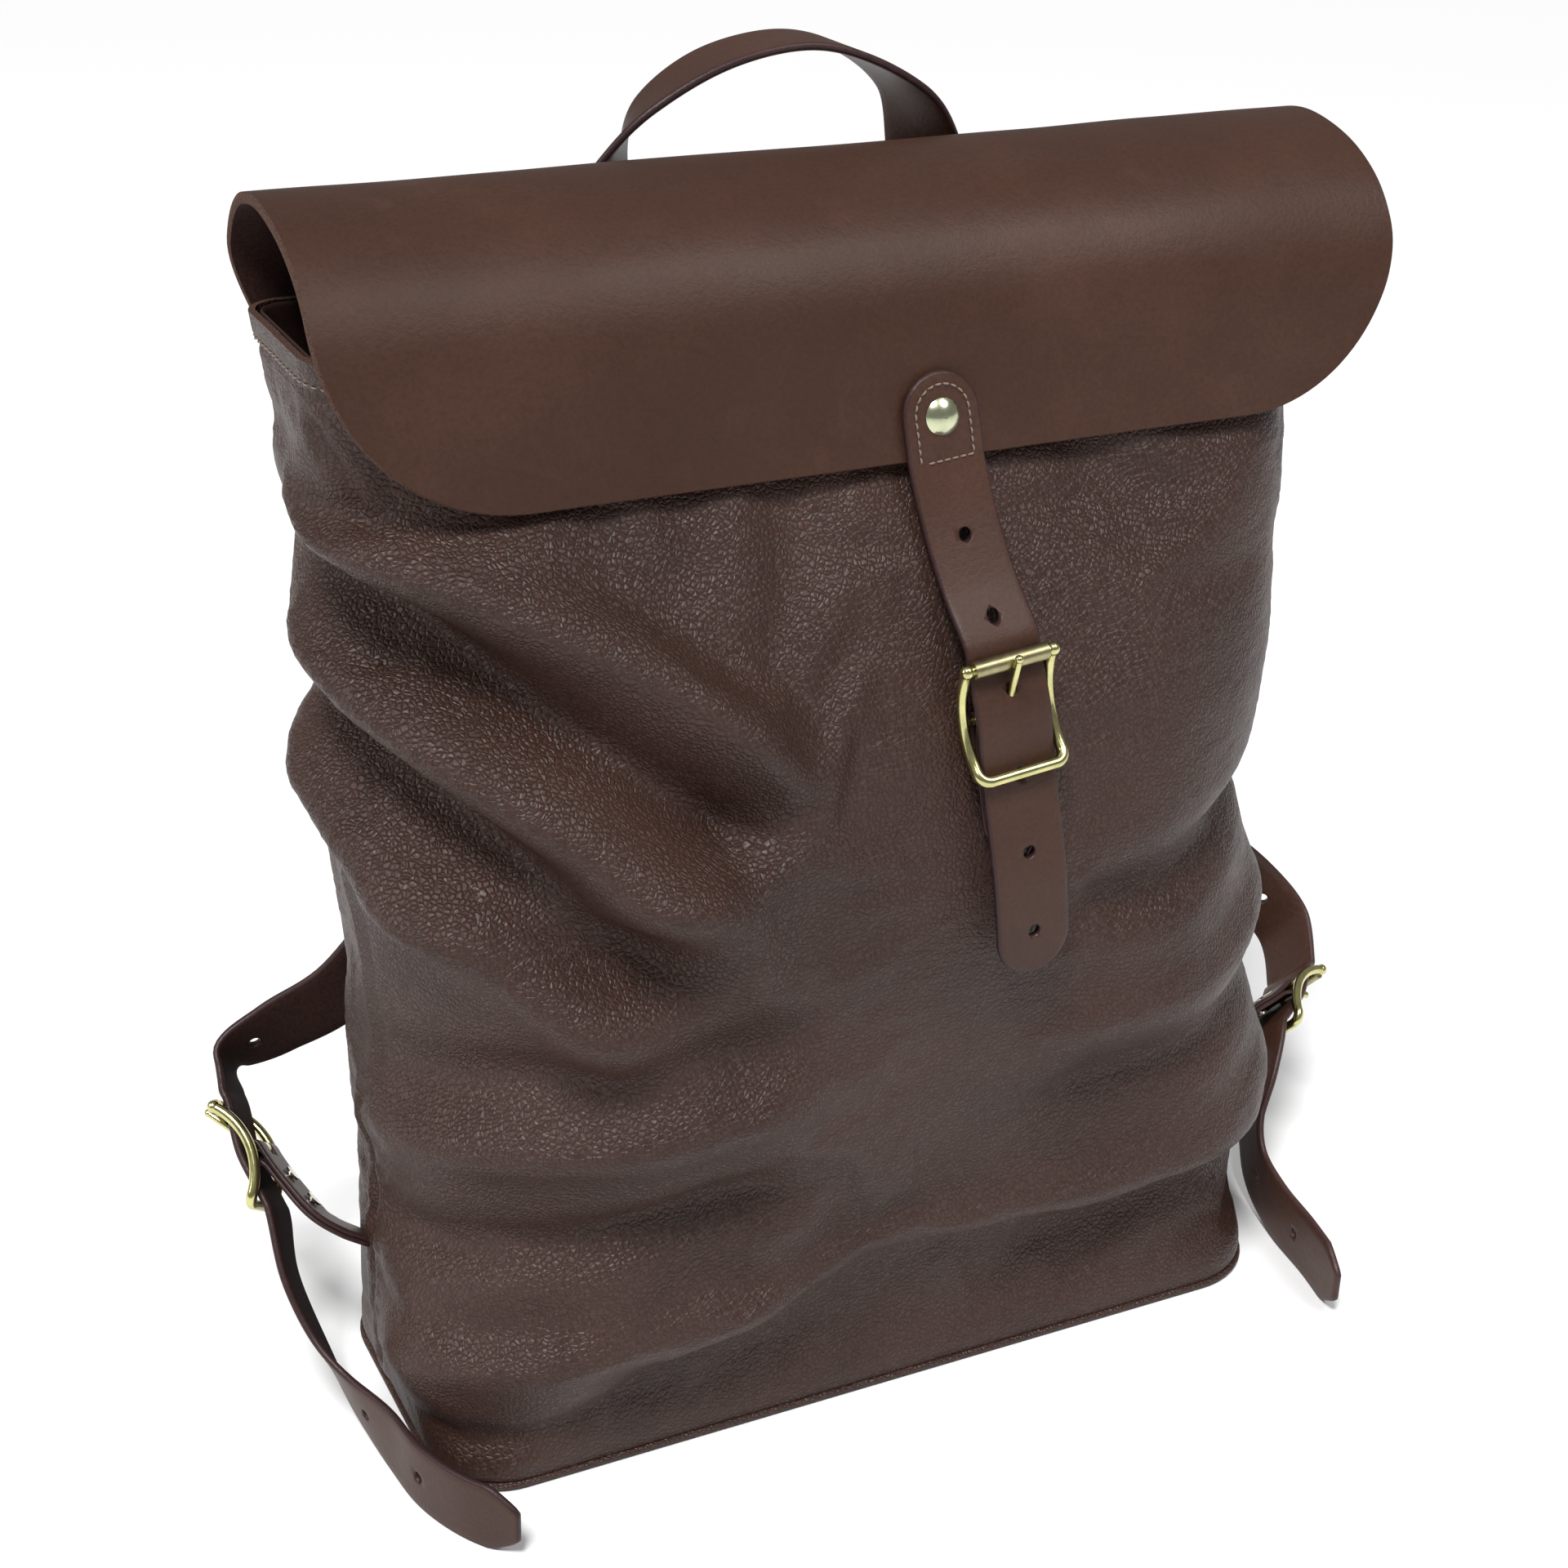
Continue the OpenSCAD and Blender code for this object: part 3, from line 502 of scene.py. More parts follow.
def stitches(name, line, up, pitch, length, width, mat, height=0.45):
    """A row of sewn stitches along a line of points, each a small pillow of thread sunk at its ends."""
    p = np.asarray(line, float)
    up = np.broadcast_to(np.asarray(up, float), p.shape)
    seg = np.r_[0, np.cumsum(np.linalg.norm(np.diff(p, axis=0), axis=1))]
    verts, faces = [], []
    rings, sides = 5, 6
    for s in np.arange(pitch / 2, seg[-1] - length / 2, pitch):
        at = lambda q: np.array([np.interp(q, seg, p[:, k]) for k in range(3)])
        c, d = at(s), at(s + length / 2) - at(s - length / 2)
        d /= np.linalg.norm(d)
        n = np.array([np.interp(s, seg, up[:, k]) for k in range(3)])
        n -= d * (n @ d)
        n /= np.linalg.norm(n)
        w = np.cross(d, n)
        base = len(verts)
        for i in range(rings):
            t = -1 + 2 * i / (rings - 1)
            fat = math.sqrt(max(0.12, 1 - t * t))
            lift = height * (1 - 1.3 * t * t)
            for k in range(sides):
                a = 2 * math.pi * k / sides
                verts.append(c + d * t * length / 2 + n * (lift + 0.5 * width * fat * math.sin(a) * 0.8)
                             + w * 0.5 * width * fat * math.cos(a))
        for i in range(rings - 1):
            for k in range(sides):
                q = (k + 1) % sides
                faces.append(tuple(base + x for x in (i * sides + k, i * sides + q,
                                                      (i + 1) * sides + q, (i + 1) * sides + k)))
        faces.append(tuple(base + k for k in range(sides))[::-1])
        faces.append(tuple(base + (rings - 1) * sides + k for k in range(sides)))
    return finish_mesh(name, verts, faces, [mat], angle=80)


# ---- body shell ----
heights = np.r_[2.4, 3.4, 5.0, np.arange(8, MOUTH_Z - 3, ROW_STEP), MOUTH_Z - 1.5, MOUTH_Z]
shell = np.array([[(x, y, z) for x, y in section(z)] for z in heights])
for row, inset in ((0, 2.2), (1, 0.8), (2, 0.2)):
    shell[row, :, :2] *= 1 - inset / 150
ROWS, AROUND = shell.shape[:2]
# rows run upwards here, so the outward normal is the other way round
normals = -grid_normals(shell, True)
flat, out = shell.reshape(-1, 3), normals.reshape(-1, 3)


def held_spot(a, b, hold):
    """How firmly one spot holds the leather, 1 at its middle."""
    a0, b0, reach_a, reach_b = hold
    return np.exp(-((a - a0) / reach_a) ** 2 - ((b - b0) / reach_b) ** 2)


def free_share(p):
    """How freely the leather folds at each point: held at the base, the mouth and the fastenings."""
    share = smooth(4, 26, p[:, 2]) * (1 - 0.75 * smooth(372, 392, p[:, 2]))
    chape = (np.abs(p[:, 0] - 16) < 60) & (p[:, 1] < 0)
    near = held_spot(p[:, 0], p[:, 2], BUCKLE_HOLD)
    share = np.where(chape, share * (1 - 0.85 * near), share)
    along = np.exp(-((p[:, 0] - BUCKLE_HOLD[0]) / STRAP_PATH) ** 2)
    under = along * smooth(100, 130, p[:, 2]) * (p[:, 1] < 0)
    share = share * (1 - STRAP_HOLD * under)
    strap_end = held_spot(p[:, 2], p[:, 1], STRAP_END_HOLD) * (np.abs(p[:, 0]) > 150)
    yoke = held_spot(p[:, 2], p[:, 0], YOKE_HOLD) * (p[:, 1] > 20)
    return share * (1 - strap_end) * (1 - yoke)


def arc_between(start, end, bow, offset=0):
    """A shallow arc on the flat leather, moved sideways by offset."""
    a, b = np.array(start, float), np.array(end, float)
    across = np.array([-(b - a)[1], (b - a)[0]]) / np.linalg.norm(b - a)
    t = np.linspace(0, 1, 25)[:, None]
    return a + (b - a) * t + across * (offset + 4 * bow * t * (1 - t))


unrolled = np.vstack([np.c_[girth(ring), ring[:, 2]] for ring in shell])
push = np.zeros(len(flat))
side_run = {side: girth(section(MOUTH_Z))[SIDE_MIDDLE[side]] for side in (-1, 1)}
folds = []
for k in range(ROLL_COUNT):
    roll_end = (BUCKLE_LO[0] - ROLL_GAP, BUCKLE_LO[2])
    line = arc_between((side_run[-1], FLAP_FOOT), roll_end, ROLL_BOW, -k * ROLL_STEP)
    folds.append((ROLL_HEIGHT * (-1) ** k, ROLL_SPREAD, line))
uneven = random.Random(5)
for side in (-1, 1):
    for k in range(WAVE_COUNT):
        z = BASE_TOP + (k + 1) * WAVE_STEP + uneven.uniform(-WAVE_SHIFT, WAVE_SHIFT)
        ends = [(side_run[side], z - WAVE_CLIMB / 2), (side * WAVE_GAP, z + WAVE_CLIMB / 2)]
        if side > 0:
            ends = [(x, 2 * z - h) for x, h in ends]
        size = WAVE_HEIGHT * uneven.uniform(WAVE_LEAST, WAVE_MOST)
        folds.append((size * side * (-1) ** (k + 1), WAVE_SPREAD, arc_between(*ends, WAVE_BOW)))
for height, spread, line in folds:
    dist, where = nearest_on(unrolled, line)
    fade = smooth(0, 0.2, where) * (1 - smooth(0.82, 1.0, where)) * 0.8 + 0.2
    push += height * fade * np.exp(-(dist / spread) ** 2)
on_back = smooth(20, 45, flat[:, 1]) * smooth(170, 120, np.abs(flat[:, 0]))
push += on_back * BACK_WAVE * np.sin(2 * math.pi * (flat[:, 2] + 0.2 * flat[:, 0]) / BACK_WAVE_LENGTH)
tuck_z = TUCK_LEFT_Z + (TUCK_Z - TUCK_LEFT_Z) * smooth(-BASE_HALF, 0, flat[:, 0])
below = smooth(5, -7, flat[:, 2] - tuck_z) * smooth(0, 14, flat[:, 2] + 6)
in_front = smooth(-20, -50, flat[:, 1])
push += in_front * (-TUCK_DEPTH * below * np.clip(flat[:, 2] / 30, 0.25, 1)
                    + 2.5 * np.exp(-((flat[:, 2] - tuck_z - 9) / 7) ** 2))
push += 1.6 * fractal(flat + 40, 62) + 0.7 * fractal(flat - 90, 21)
room = PRESSED_ROOM + 40 * smooth(FLAP_FOOT, FLAP_FOOT - PRESS_FADE, flat[:, 2])
push = np.where(flat[:, 1] < 0, np.minimum(push, room), push)
flat = flat + out * (push * free_share(flat))[:, None]
flat[:, 2] = np.maximum(flat[:, 2], 2.0)


def ring_faces(rows):
    """The faces between that many rings of the body's outline."""
    return [(i * AROUND + j, i * AROUND + (j + 1) % AROUND, (i + 1) * AROUND + (j + 1) % AROUND,
             (i + 1) * AROUND + j) for i in range(rows - 1) for j in range(AROUND)]


shell_obj = finish_mesh("body_shell", flat, ring_faces(ROWS), [BODY, RAW])

# A short cloth run lets the leather settle into its folds.
SETTLE_FRAMES, SETTLE_CAP, SHRINK = 20, 3.5, -0.012
pins = shell_obj.vertex_groups.new(name="held")
held = 1 - free_share(flat)
for k, w in enumerate(held):
    pins.add([k], float(min(1.0, 0.12 + w)) if w < 0.95 else 1.0, "REPLACE")
cloth = shell_obj.modifiers.new("settle", "CLOTH")
st = cloth.settings
st.quality, st.mass = 5, 0.5
st.tension_stiffness = st.compression_stiffness = 30
st.shear_stiffness, st.bending_stiffness = 10, 6
st.tension_damping = st.compression_damping = st.shear_damping = 20
st.air_damping = 4
st.vertex_group_mass, st.pin_stiffness = "held", 0.6
st.shrink_min = SHRINK
st.effector_weights.gravity = 0
cloth.collision_settings.use_collision = False
for f in range(1, SETTLE_FRAMES + 1):
    bpy.context.scene.frame_set(f)
dg = bpy.context.evaluated_depsgraph_get()
settled = shell_obj.evaluated_get(dg).to_mesh()
co = np.zeros(len(settled.vertices) * 3)
settled.vertices.foreach_get("co", co)
shell_obj.modifiers.clear()
shell_obj.vertex_groups.clear()
bpy.context.scene.frame_set(1)
move = co.reshape(-1, 3) / MM - flat
far = np.linalg.norm(move, axis=1, keepdims=True)
print("settled", float(far.mean()), float(far.max()))
flat = flat + move * np.minimum(1, SETTLE_CAP / (far + 1e-9))
shell_obj.data.vertices.foreach_set("co", (flat * MM).ravel())
shell_obj.data.update()

sub = shell_obj.modifiers.new("fine", "SUBSURF")
sub.levels = sub.render_levels = 1
bake(shell_obj)
fine_co = np.array([v.co for v in shell_obj.data.vertices]) / MM
fine_n = np.array([v.normal for v in shell_obj.data.vertices])


def seam_line(side):
    """Where a side seam runs, side = -1 left, 1 right."""
    points = []
    for z in np.linspace(SEAM_TOP, SEAM_FOOT, 40):
        share = SEAM_TOP_SHARE + (SEAM_LOW_SHARE - SEAM_TOP_SHARE) * smooth(SEAM_TOP, MOUTH_Z / 2, z)
        y = front_y(z) + share * (back_y(z) - front_y(z))
        ring = section(z)
        ring = ring[ring[:, 0] * side > 0]
        points.append((*ring[np.argmin(np.abs(ring[:, 1] - y) + 0.2 * (190 - np.abs(ring[:, 0])))], z))
    return np.array(points)


seams = [snapped(fine_co, seam_line(side)) for side in (-1, 1)]
dent = np.zeros(len(fine_co))
for line in seams:
    dist, _ = nearest_on(fine_co, line)
    dent -= SEAM_DEPTH * np.exp(-(dist / SEAM_SPREAD) ** 2) - 0.8 * np.exp(-((dist - 5.5) / 3) ** 2)
stretched = fine_co * [1.0, 1.0, 2.4]
dent += 0.32 * fractal(stretched, 7.0, 2) * free_share(fine_co)
hem_z = MOUTH_Z - HEM_DEPTH
dent -= 0.9 * np.exp(-((fine_co[:, 2] - hem_z) / 1.6) ** 2)
dent += 0.7 * smooth(hem_z, hem_z + 4, fine_co[:, 2])
fine_co = fine_co + fine_n * dent[:, None]
shell_obj.data.vertices.foreach_set("co", (fine_co * MM).ravel())
shell_obj.data.update()
fine_n = np.array([v.normal for v in shell_obj.data.vertices])


def on_body(line, lift=0.0):
    """A line moved onto the finished leather, and the outward direction there."""
    idx = [np.argmin(np.linalg.norm(fine_co - q, axis=1)) for q in np.asarray(line, float)]
    return fine_co[idx] + fine_n[idx] * lift, fine_n[idx]


def smoothed(line, passes=3):
    p = np.array(line, float)
    for _ in range(passes):
        p[1:-1] = (p[:-2] + 2 * p[1:-1] + p[2:]) / 4
    return p


for label, side in (("left", -1), ("right", 1)):
    path, up = on_body(catmull(seam_line(side), 4), 0.1)
    keep = path[:, 2] < 312
    path, up = smoothed(path[keep], 6), smoothed(up[keep], 6)
    off = np.cross(np.gradient(path, axis=0), up)
    off /= np.linalg.norm(off, axis=1, keepdims=True) + 1e-9
    row = stitches(f"side_seam_thread_{label}", path + off * 3.4 + up * 0.15, up, *SEAM_STITCH, DARK)
    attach(row, "bag")

around = section(hem_z + 2.5)
around = np.vstack([around, around[:1]])
hem_line = np.c_[around, np.full(len(around), hem_z + 2.5)]
hem_path, hem_up = on_body(hem_line, 0.1)
hem_thread = stitches("mouth_hem_thread", smoothed(hem_path, 2), hem_up, *HEM_STITCH, TAN)
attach(hem_thread, "bag")

solid = shell_obj.modifiers.new("leather", "SOLIDIFY")
solid.thickness, solid.offset = BODY_T * MM, -1
solid.use_rim, solid.material_offset_rim, solid.material_offset = True, 1, 0
solid.use_even_offset = False
bake(shell_obj)
shell_obj.data.set_sharp_from_angle(angle=math.radians(60))
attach(shell_obj, "bag")
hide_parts("front_panel", "back_panel", "gusset_left", "gusset_right")


# ---- base and inside ----
def outline(z, grow):
    p = section(z)
    t = np.roll(p, -1, 0) - np.roll(p, 1, 0)
    o = np.c_[t[:, 1], -t[:, 0]]
    o /= np.linalg.norm(o, axis=1, keepdims=True)
    o *= np.where((o * p).sum(1) < 0, -1, 1)[:, None]
    return p + o * grow


def plate(name, z_of, grow, profile, mats):
    """A flat closed plate with the body's outline and a rounded edge."""
    rows = [np.c_[outline(z_of, grow + g), np.full(AROUND, z)] for g, z in profile]
    verts = np.vstack(rows)
    faces = ring_faces(len(rows))
    faces += [tuple(range(AROUND))[::-1], tuple((len(rows) - 1) * AROUND + k for k in range(AROUND))]
    return finish_mesh(name, verts, faces, mats)


base = plate("base_leather", 3, 0.6,
             [(-2.2, 0.05), (-0.7, 0.3), (0, 1.1), (0, 1.9), (-0.6, 2.5), (-2, 2.75)], [BODY])
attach(base, "bag")
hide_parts("base_panel")
board = plate("base_stiffener", 3, -4.5, [(-0.6, 2.9), (0, 3.3), (0, 4.9), (-0.6, 5.3)], [BOARD])
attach(board, "bag")
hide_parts("base_board")

FACING_H = 27.0
rows = []
for inset, z in ([(0.15, z) for z in np.linspace(MOUTH_Z - FACING_H, MOUTH_Z - 1.2, 10)]
                  + [(0.5, MOUTH_Z - 0.4), (1.0, MOUTH_Z - 0.2), (1.5, MOUTH_Z - 0.6)]
                  + [(1.7, z) for z in np.linspace(MOUTH_Z - 1.6, MOUTH_Z - FACING_H, 10)]):
    rows.append(np.c_[outline(z, -BODY_T - 0.2 - inset), np.full(AROUND, z)])
facing = tube_mesh("mouth_lining", rows, [FACING])
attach(facing, "bag")
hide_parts("mouth_facing")

# ---- flap: one sheet from the back over the crest and down the front ----
FLAP_LINE = [(49.4, 365), (50.8, 383), (52.2, 400), (51.2, 411), (45, 421.5), (35, 429), (20, 432.4),
             (4, 431), (-12, 426), (-26, 417), (-35, 405), (-39.7, 392), (-42.5, 378), (-45, 364),
             (-47.5, 350)]
FLAP_HALF, FLAP_CORNER = 187.5, 60.0
REAR_TAPER = 13.0
curve = catmull(FLAP_LINE, 9)
run = np.r_[0, np.cumsum(np.linalg.norm(np.diff(curve, axis=0), axis=1))]
last_rows = np.array([11, 9, 7, 5.2, 3.8, 2.6, 1.6, 0.8, 0.3, 0])
stops = np.r_[np.arange(0, run[-1] - 12, 2.6), run[-1] - last_rows]
ACROSS = 121
grid = []
for s in stops:
    left = run[-1] - s
    half = FLAP_HALF - REAR_TAPER * (1 - smooth(0, 50, s))
    if left < FLAP_CORNER:
        half = FLAP_HALF - FLAP_CORNER + math.sqrt(FLAP_CORNER ** 2 - (FLAP_CORNER - left) ** 2)
    y, z = np.interp(s, run, curve[:, 0]), np.interp(s, run, curve[:, 1])
    grid.append([(half * u, y, z) for u in np.linspace(-1, 1, ACROSS)])
grid = np.array(grid)
gn = grid_normals(grid, False)
flat_g = grid.reshape(-1, 3)
wave = 0.9 * fractal(flat_g * [1, 1, 1.6] + 300, 95, 2) * smooth(20, 60, np.repeat(stops, ACROSS))
front_share = smooth(60, 110, np.repeat(stops, ACROSS))
calm = 1 - np.exp(-((flat_g[:, 0] - 9) / 30) ** 2) * front_share
grid = grid + gn * (wave * calm).reshape(len(stops), ACROSS, 1)
flap = slab("flap_sheet", grid, FLAP_T, [FLAP, RAW, SUEDE], edge_out=0.16)
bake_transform(flap)
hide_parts("flap_rear", "flap_front")

# ---- closure strap ----
TILT, PIVOT = math.radians(5.9), np.array([9.0, 0, 370.0])
LEAN = math.radians(-11)
BUCKLE_O = np.array([0, -88.6, 275.5])


def on_closure(p):
    """From the hanging strap's own upright frame to the bag's."""
    q = np.asarray(p, float) - [0, 0, PIVOT[2]]
    c, s = math.cos(-TILT), math.sin(-TILT)
    return np.stack([q[..., 0] * c + q[..., 2] * s, q[..., 1], -q[..., 0] * s + q[..., 2] * c], -1) + PIVOT


def front_local(p):
    """From the front buckle's frame to the bag's."""
    p = np.asarray(p, float)
    c, s = math.cos(LEAN), math.sin(LEAN)
    q = np.stack([p[..., 0], p[..., 1] * c - p[..., 2] * s, p[..., 1] * s + p[..., 2] * c], -1) + BUCKLE_O
    return on_closure(q)


def lean_point(y, z):
    c, s = math.cos(LEAN), math.sin(LEAN)
    return (BUCKLE_O[1] + y * c - z * s, BUCKLE_O[2] + y * s + z * c)


LEAF_Y, LEAF_TOP, LEAF_SLOPE = -46.45, 377, 5 / 28


def leaf_point(z):
    return (LEAF_Y - (LEAF_TOP - z) * LEAF_SLOPE, z)


CLOSURE = [leaf_point(LEAF_TOP), leaf_point(358), leaf_point(349), (-58.5, 332), (-69.8, 314),
           lean_point(1, 25), lean_point(0.9, 18), lean_point(-1.3, 0), lean_point(0.9, -18),
           lean_point(0.9, -25), (-97, 222), (-97.8, 200), (-97.8, 185)]
line = catmull(CLOSURE, 14)
run = np.r_[0, np.cumsum(np.linalg.norm(np.diff(line, axis=0), axis=1))]
ends = np.array([0, 0.25, 0.7, 1.4, 2.3, 3.5, 5, 7, 9.5])
stops = np.r_[ends, np.arange(12, run[-1] - 11, 2.2), run[-1] - ends[::-1]]
LANES = 13
grid = []
for s in stops:
    r = STRAP_W / 2
    edge = min(s, run[-1] - s)
    half = math.sqrt(max(0.0, r * r - max(0.0, r - edge) ** 2)) if edge < r else r
    half = max(half, 1.2)
    y, z = np.interp(s, run, line[:, 0]), np.interp(s, run, line[:, 1])
    grid.append([(half * u, y, z) for u in np.linspace(-1, 1, LANES)])
grid = on_closure(np.array(grid))
closure = slab("closure_strap_leather", grid, STRAP_T, [STRAP, EDGE, SUEDE], edge_out=0.35)
holes = []
HOLE_Z = (200, 229, 256, 306, 328)
for z in HOLE_Z:
    y = np.interp(z, line[::-1, 1], line[::-1, 0])
    holes.append((on_closure([0, y, z]), on_closure([0, 1, 0]) - on_closure([0, 0, 0]), HOLE_R))
PRONG_HOLE = (0, -1.5, 9.0)
holes.append((front_local(PRONG_HOLE), front_local([0, 1, 0]) - front_local([0, 0, 0]), PRONG_HOLE_R))
punch(closure, holes)
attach(closure, "flap")
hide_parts("closure_strap")



def subdivided(corners, parts):
    """Points along a line of corners, that many to a span, without its last corner."""
    return [tuple(np.array(a) + (np.array(b) - np.array(a)) * k / parts)
            for a, b in zip(corners, corners[1:]) for k in range(parts)]


BOX_INSET, BOX_LOW = 3.1, 27.5
r = STRAP_W / 2 - BOX_INSET
crown_arc = [(r * math.cos(a), STRAP_W / 2 - r * math.sin(a)) for a in np.linspace(math.pi, 0, 24)]
box_corners = [(-r, BOX_LOW)] + crown_arc + [(r, BOX_LOW), (-r, BOX_LOW)]
sewn = subdivided(box_corners, 4) + box_corners[-1:]
pts, ups = [], []
for x, s in sewn:
    y, z = np.interp(s, run, line[:, 0]), np.interp(s, run, line[:, 1])
    y2, z2 = np.interp(s + 2, run, line[:, 0]), np.interp(s + 2, run, line[:, 1])
    d = np.array([y2 - y, z2 - z]) / math.hypot(y2 - y, z2 - z)
    n = np.array([0, d[1], -d[0]])
    base_p = on_closure([x, y, z])
    n = on_closure(np.array([x, y, z]) + n) - base_p
    pts.append(base_p + n * (STRAP_T / 2 - 0.05))
    ups.append(n)
closure_thread = stitches("closure_thread", pts, ups, *BOX_STITCH, TAN)
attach(closure_thread, "flap")
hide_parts("closure_stitching")


# ---- strips that fold round a buckle bar ----
def local_frame(c, angles):
    rx, ry, rz = (math.radians(a) for a in angles)
    m = Matrix.Rotation(rz, 3, "Z") @ Matrix.Rotation(ry, 3, "Y") @ Matrix.Rotation(rx, 3, "X")
    m = np.array(m)
    return lambda p: np.asarray(p, float) @ m.T + np.asarray(c, float)


left_at = local_frame((-202, 52, 81), (28, -38, -122))
right_at = local_frame((224, 18, 61), (81, 48, 125))
MID_Y = 3.7
CHAPE_W = 23.5
LAYER = 1.7


def strip(name, centre, side, width, t, mats, lanes=9, taper=None):
    """A flat strap along centre, with its width along side."""
    c = np.asarray(centre, float)
    seg = np.r_[0, np.cumsum(np.linalg.norm(np.diff(c, axis=0), axis=1))]
    d = np.gradient(c, axis=0)
    d /= np.linalg.norm(d, axis=1, keepdims=True)
    s = np.asarray(side, float)
    s = s - (s * d).sum(1, keepdims=True) * d
    s /= np.linalg.norm(s, axis=1, keepdims=True)
    half = np.full(len(c), width / 2) if taper is None else taper(seg, seg[-1]) * width / 2
    g = c[:, None, :] + s[:, None, :] * (half[:, None] * np.linspace(-1, 1, lanes)[None, :])[..., None]
    n = np.repeat(np.cross(d, s)[:, None, :], lanes, 1)
    return slab(name, g, t, mats, edge_out=0.35, n=n), c, d, s, seg


def rounded_ends(reach, least):
    """A width profile that narrows to that least share over the last few millimetres of both ends."""
    def profile(q, total):
        left = np.minimum(q, total - q)
        return np.where(left < reach, least + (1 - least) * np.sqrt(np.clip(left / reach, 0, 1)), 1)
    return profile


def resampled(points, others, step):
    """Both lists of points at an even step along the first."""
    seg = np.r_[0, np.cumsum(np.linalg.norm(np.diff(points, axis=0), axis=1))]
    at = np.linspace(0, seg[-1], max(3, int(seg[-1] / step)))
    return tuple(np.stack([np.interp(at, seg, a[:, k]) for k in range(3)], 1) for a in (points, others))


def folded_strip(name, body, spine, side, bar, up, backward, node_name):
    """Leather folded round a buckle's bar: spine runs from the bar down the middle of the doubled part."""
    spine, side = resampled(spine, side, 1.2)
    d = np.gradient(spine, axis=0)
    d /= np.linalg.norm(d, axis=1, keepdims=True)
    s = side - (side * d).sum(1, keepdims=True) * d
    s /= np.linalg.norm(s, axis=1, keepdims=True)
    n = np.cross(d, s)
    if n[0] @ backward < 0:
        n = -n
    seg = np.r_[0, np.cumsum(np.linalg.norm(np.diff(spine, axis=0), axis=1))]
    keep = seg > 5
    behind = (spine + n * (LAYER / 2 + 0.05))[keep][::-1]
    behind_s = s[keep][::-1]
    r = 1.55 + LAYER / 2 + 0.1
    arc = [bar + backward * r * math.cos(a) + up * r * math.sin(a)
           for a in np.linspace(-0.3, math.pi * 1.12, 22)]
    lane = (seg > 6.5) & (seg < seg[-1] - 1.5)
    before = (spine - n * (LAYER / 2 + 0.05))[lane]
    path = np.vstack([behind, arc, before])
    sides = np.vstack([behind_s, np.repeat(s[:1], len(arc), 0), s[lane]])
    path, sides = resampled(path, sides, 1.0)
    path = smoothed(path, 2)
    o, *_ = strip(name, path, sides, CHAPE_W, LAYER, [STRAP, EDGE, STRAP], lanes=7,
                  taper=rounded_ends(3, 0.8))
    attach(o, body)
    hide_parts(node_name)
    return o


def in_frame(f, v):
    return f(v) - f([0, 0, 0])


def cut_slot(obj, to_world, half_x=3.4, low=-3.6, high=8.0):
    """The slot in the fold that the buckle's tongue comes through."""
    xs, ys, zs = (-half_x, half_x), (MID_Y - 9, MID_Y + 8), (low, high)
    verts = [to_world([x, y, z]) for x in xs for y in ys for z in zs]
    faces = [(0, 1, 3, 2), (4, 6, 7, 5), (0, 4, 5, 1), (2, 3, 7, 6), (0, 2, 6, 4), (1, 5, 7, 3)]
    cutter = finish_mesh("cutter", verts, faces, [])
    mod = obj.modifiers.new("slot", "BOOLEAN")
    mod.operation, mod.solver, mod.object = "DIFFERENCE", "EXACT", cutter
    bake(obj)
    bpy.data.objects.remove(cutter)


front_spine = catmull([(0, MID_Y + LAYER, 0), (0, MID_Y + LAYER, -20), (0, MID_Y + LAYER, -41)], 20)
o = folded_strip("front_chape_leather", "bag", front_local(front_spine),
                 np.repeat([in_frame(front_local, [1, 0, 0])], len(front_spine), 0),
                 front_local([0, MID_Y, 0]), in_frame(front_local, [0, 0, 1]),
                 in_frame(front_local, [0, 1, 0]), "front_chape")
cut_slot(o, front_local)

lw, rw = in_frame(left_at, [1, 0, 0]), -in_frame(right_at, [1, 0, 0])
CHAPE_LOCAL = [(0, MID_Y + LAYER, -0.4), (0, MID_Y + 3.2, -8), (0, MID_Y + 6, -17), (0, MID_Y + 10.5, -29)]
LEFT_CHAPE = [*left_at(CHAPE_LOCAL), (-179, 24, 60.5), (-169, 22, 54)]
RIGHT_CHAPE = [*right_at(CHAPE_LOCAL), (183, 3, 64), (168, 3, 60)]
LEFT_CHAPE_W = [lw, lw, lw, lw, (-0.35, -0.75, 0.55), (-0.35, -0.75, 0.55)]
RIGHT_CHAPE_W = [rw, rw, rw, rw, (0.15, -0.7, 0.7), (0.15, -0.7, 0.7)]
for label, at, pts, wid in (("left", left_at, LEFT_CHAPE, LEFT_CHAPE_W),
                            ("right", right_at, RIGHT_CHAPE, RIGHT_CHAPE_W)):
    o = folded_strip(f"chape_{label}_leather", f"{label}_strap", catmull(pts, 12), catmull(wid, 12),
                     at([0, MID_Y, 0]), in_frame(at, [0, 0, 1]), in_frame(at, [0, 1, 0]), f"chape_{label}")
    cut_slot(o, at)

# ---- shoulder straps ----

def strap_y(z):
    return back_y(z) + 2.25 + STRAP_T / 2


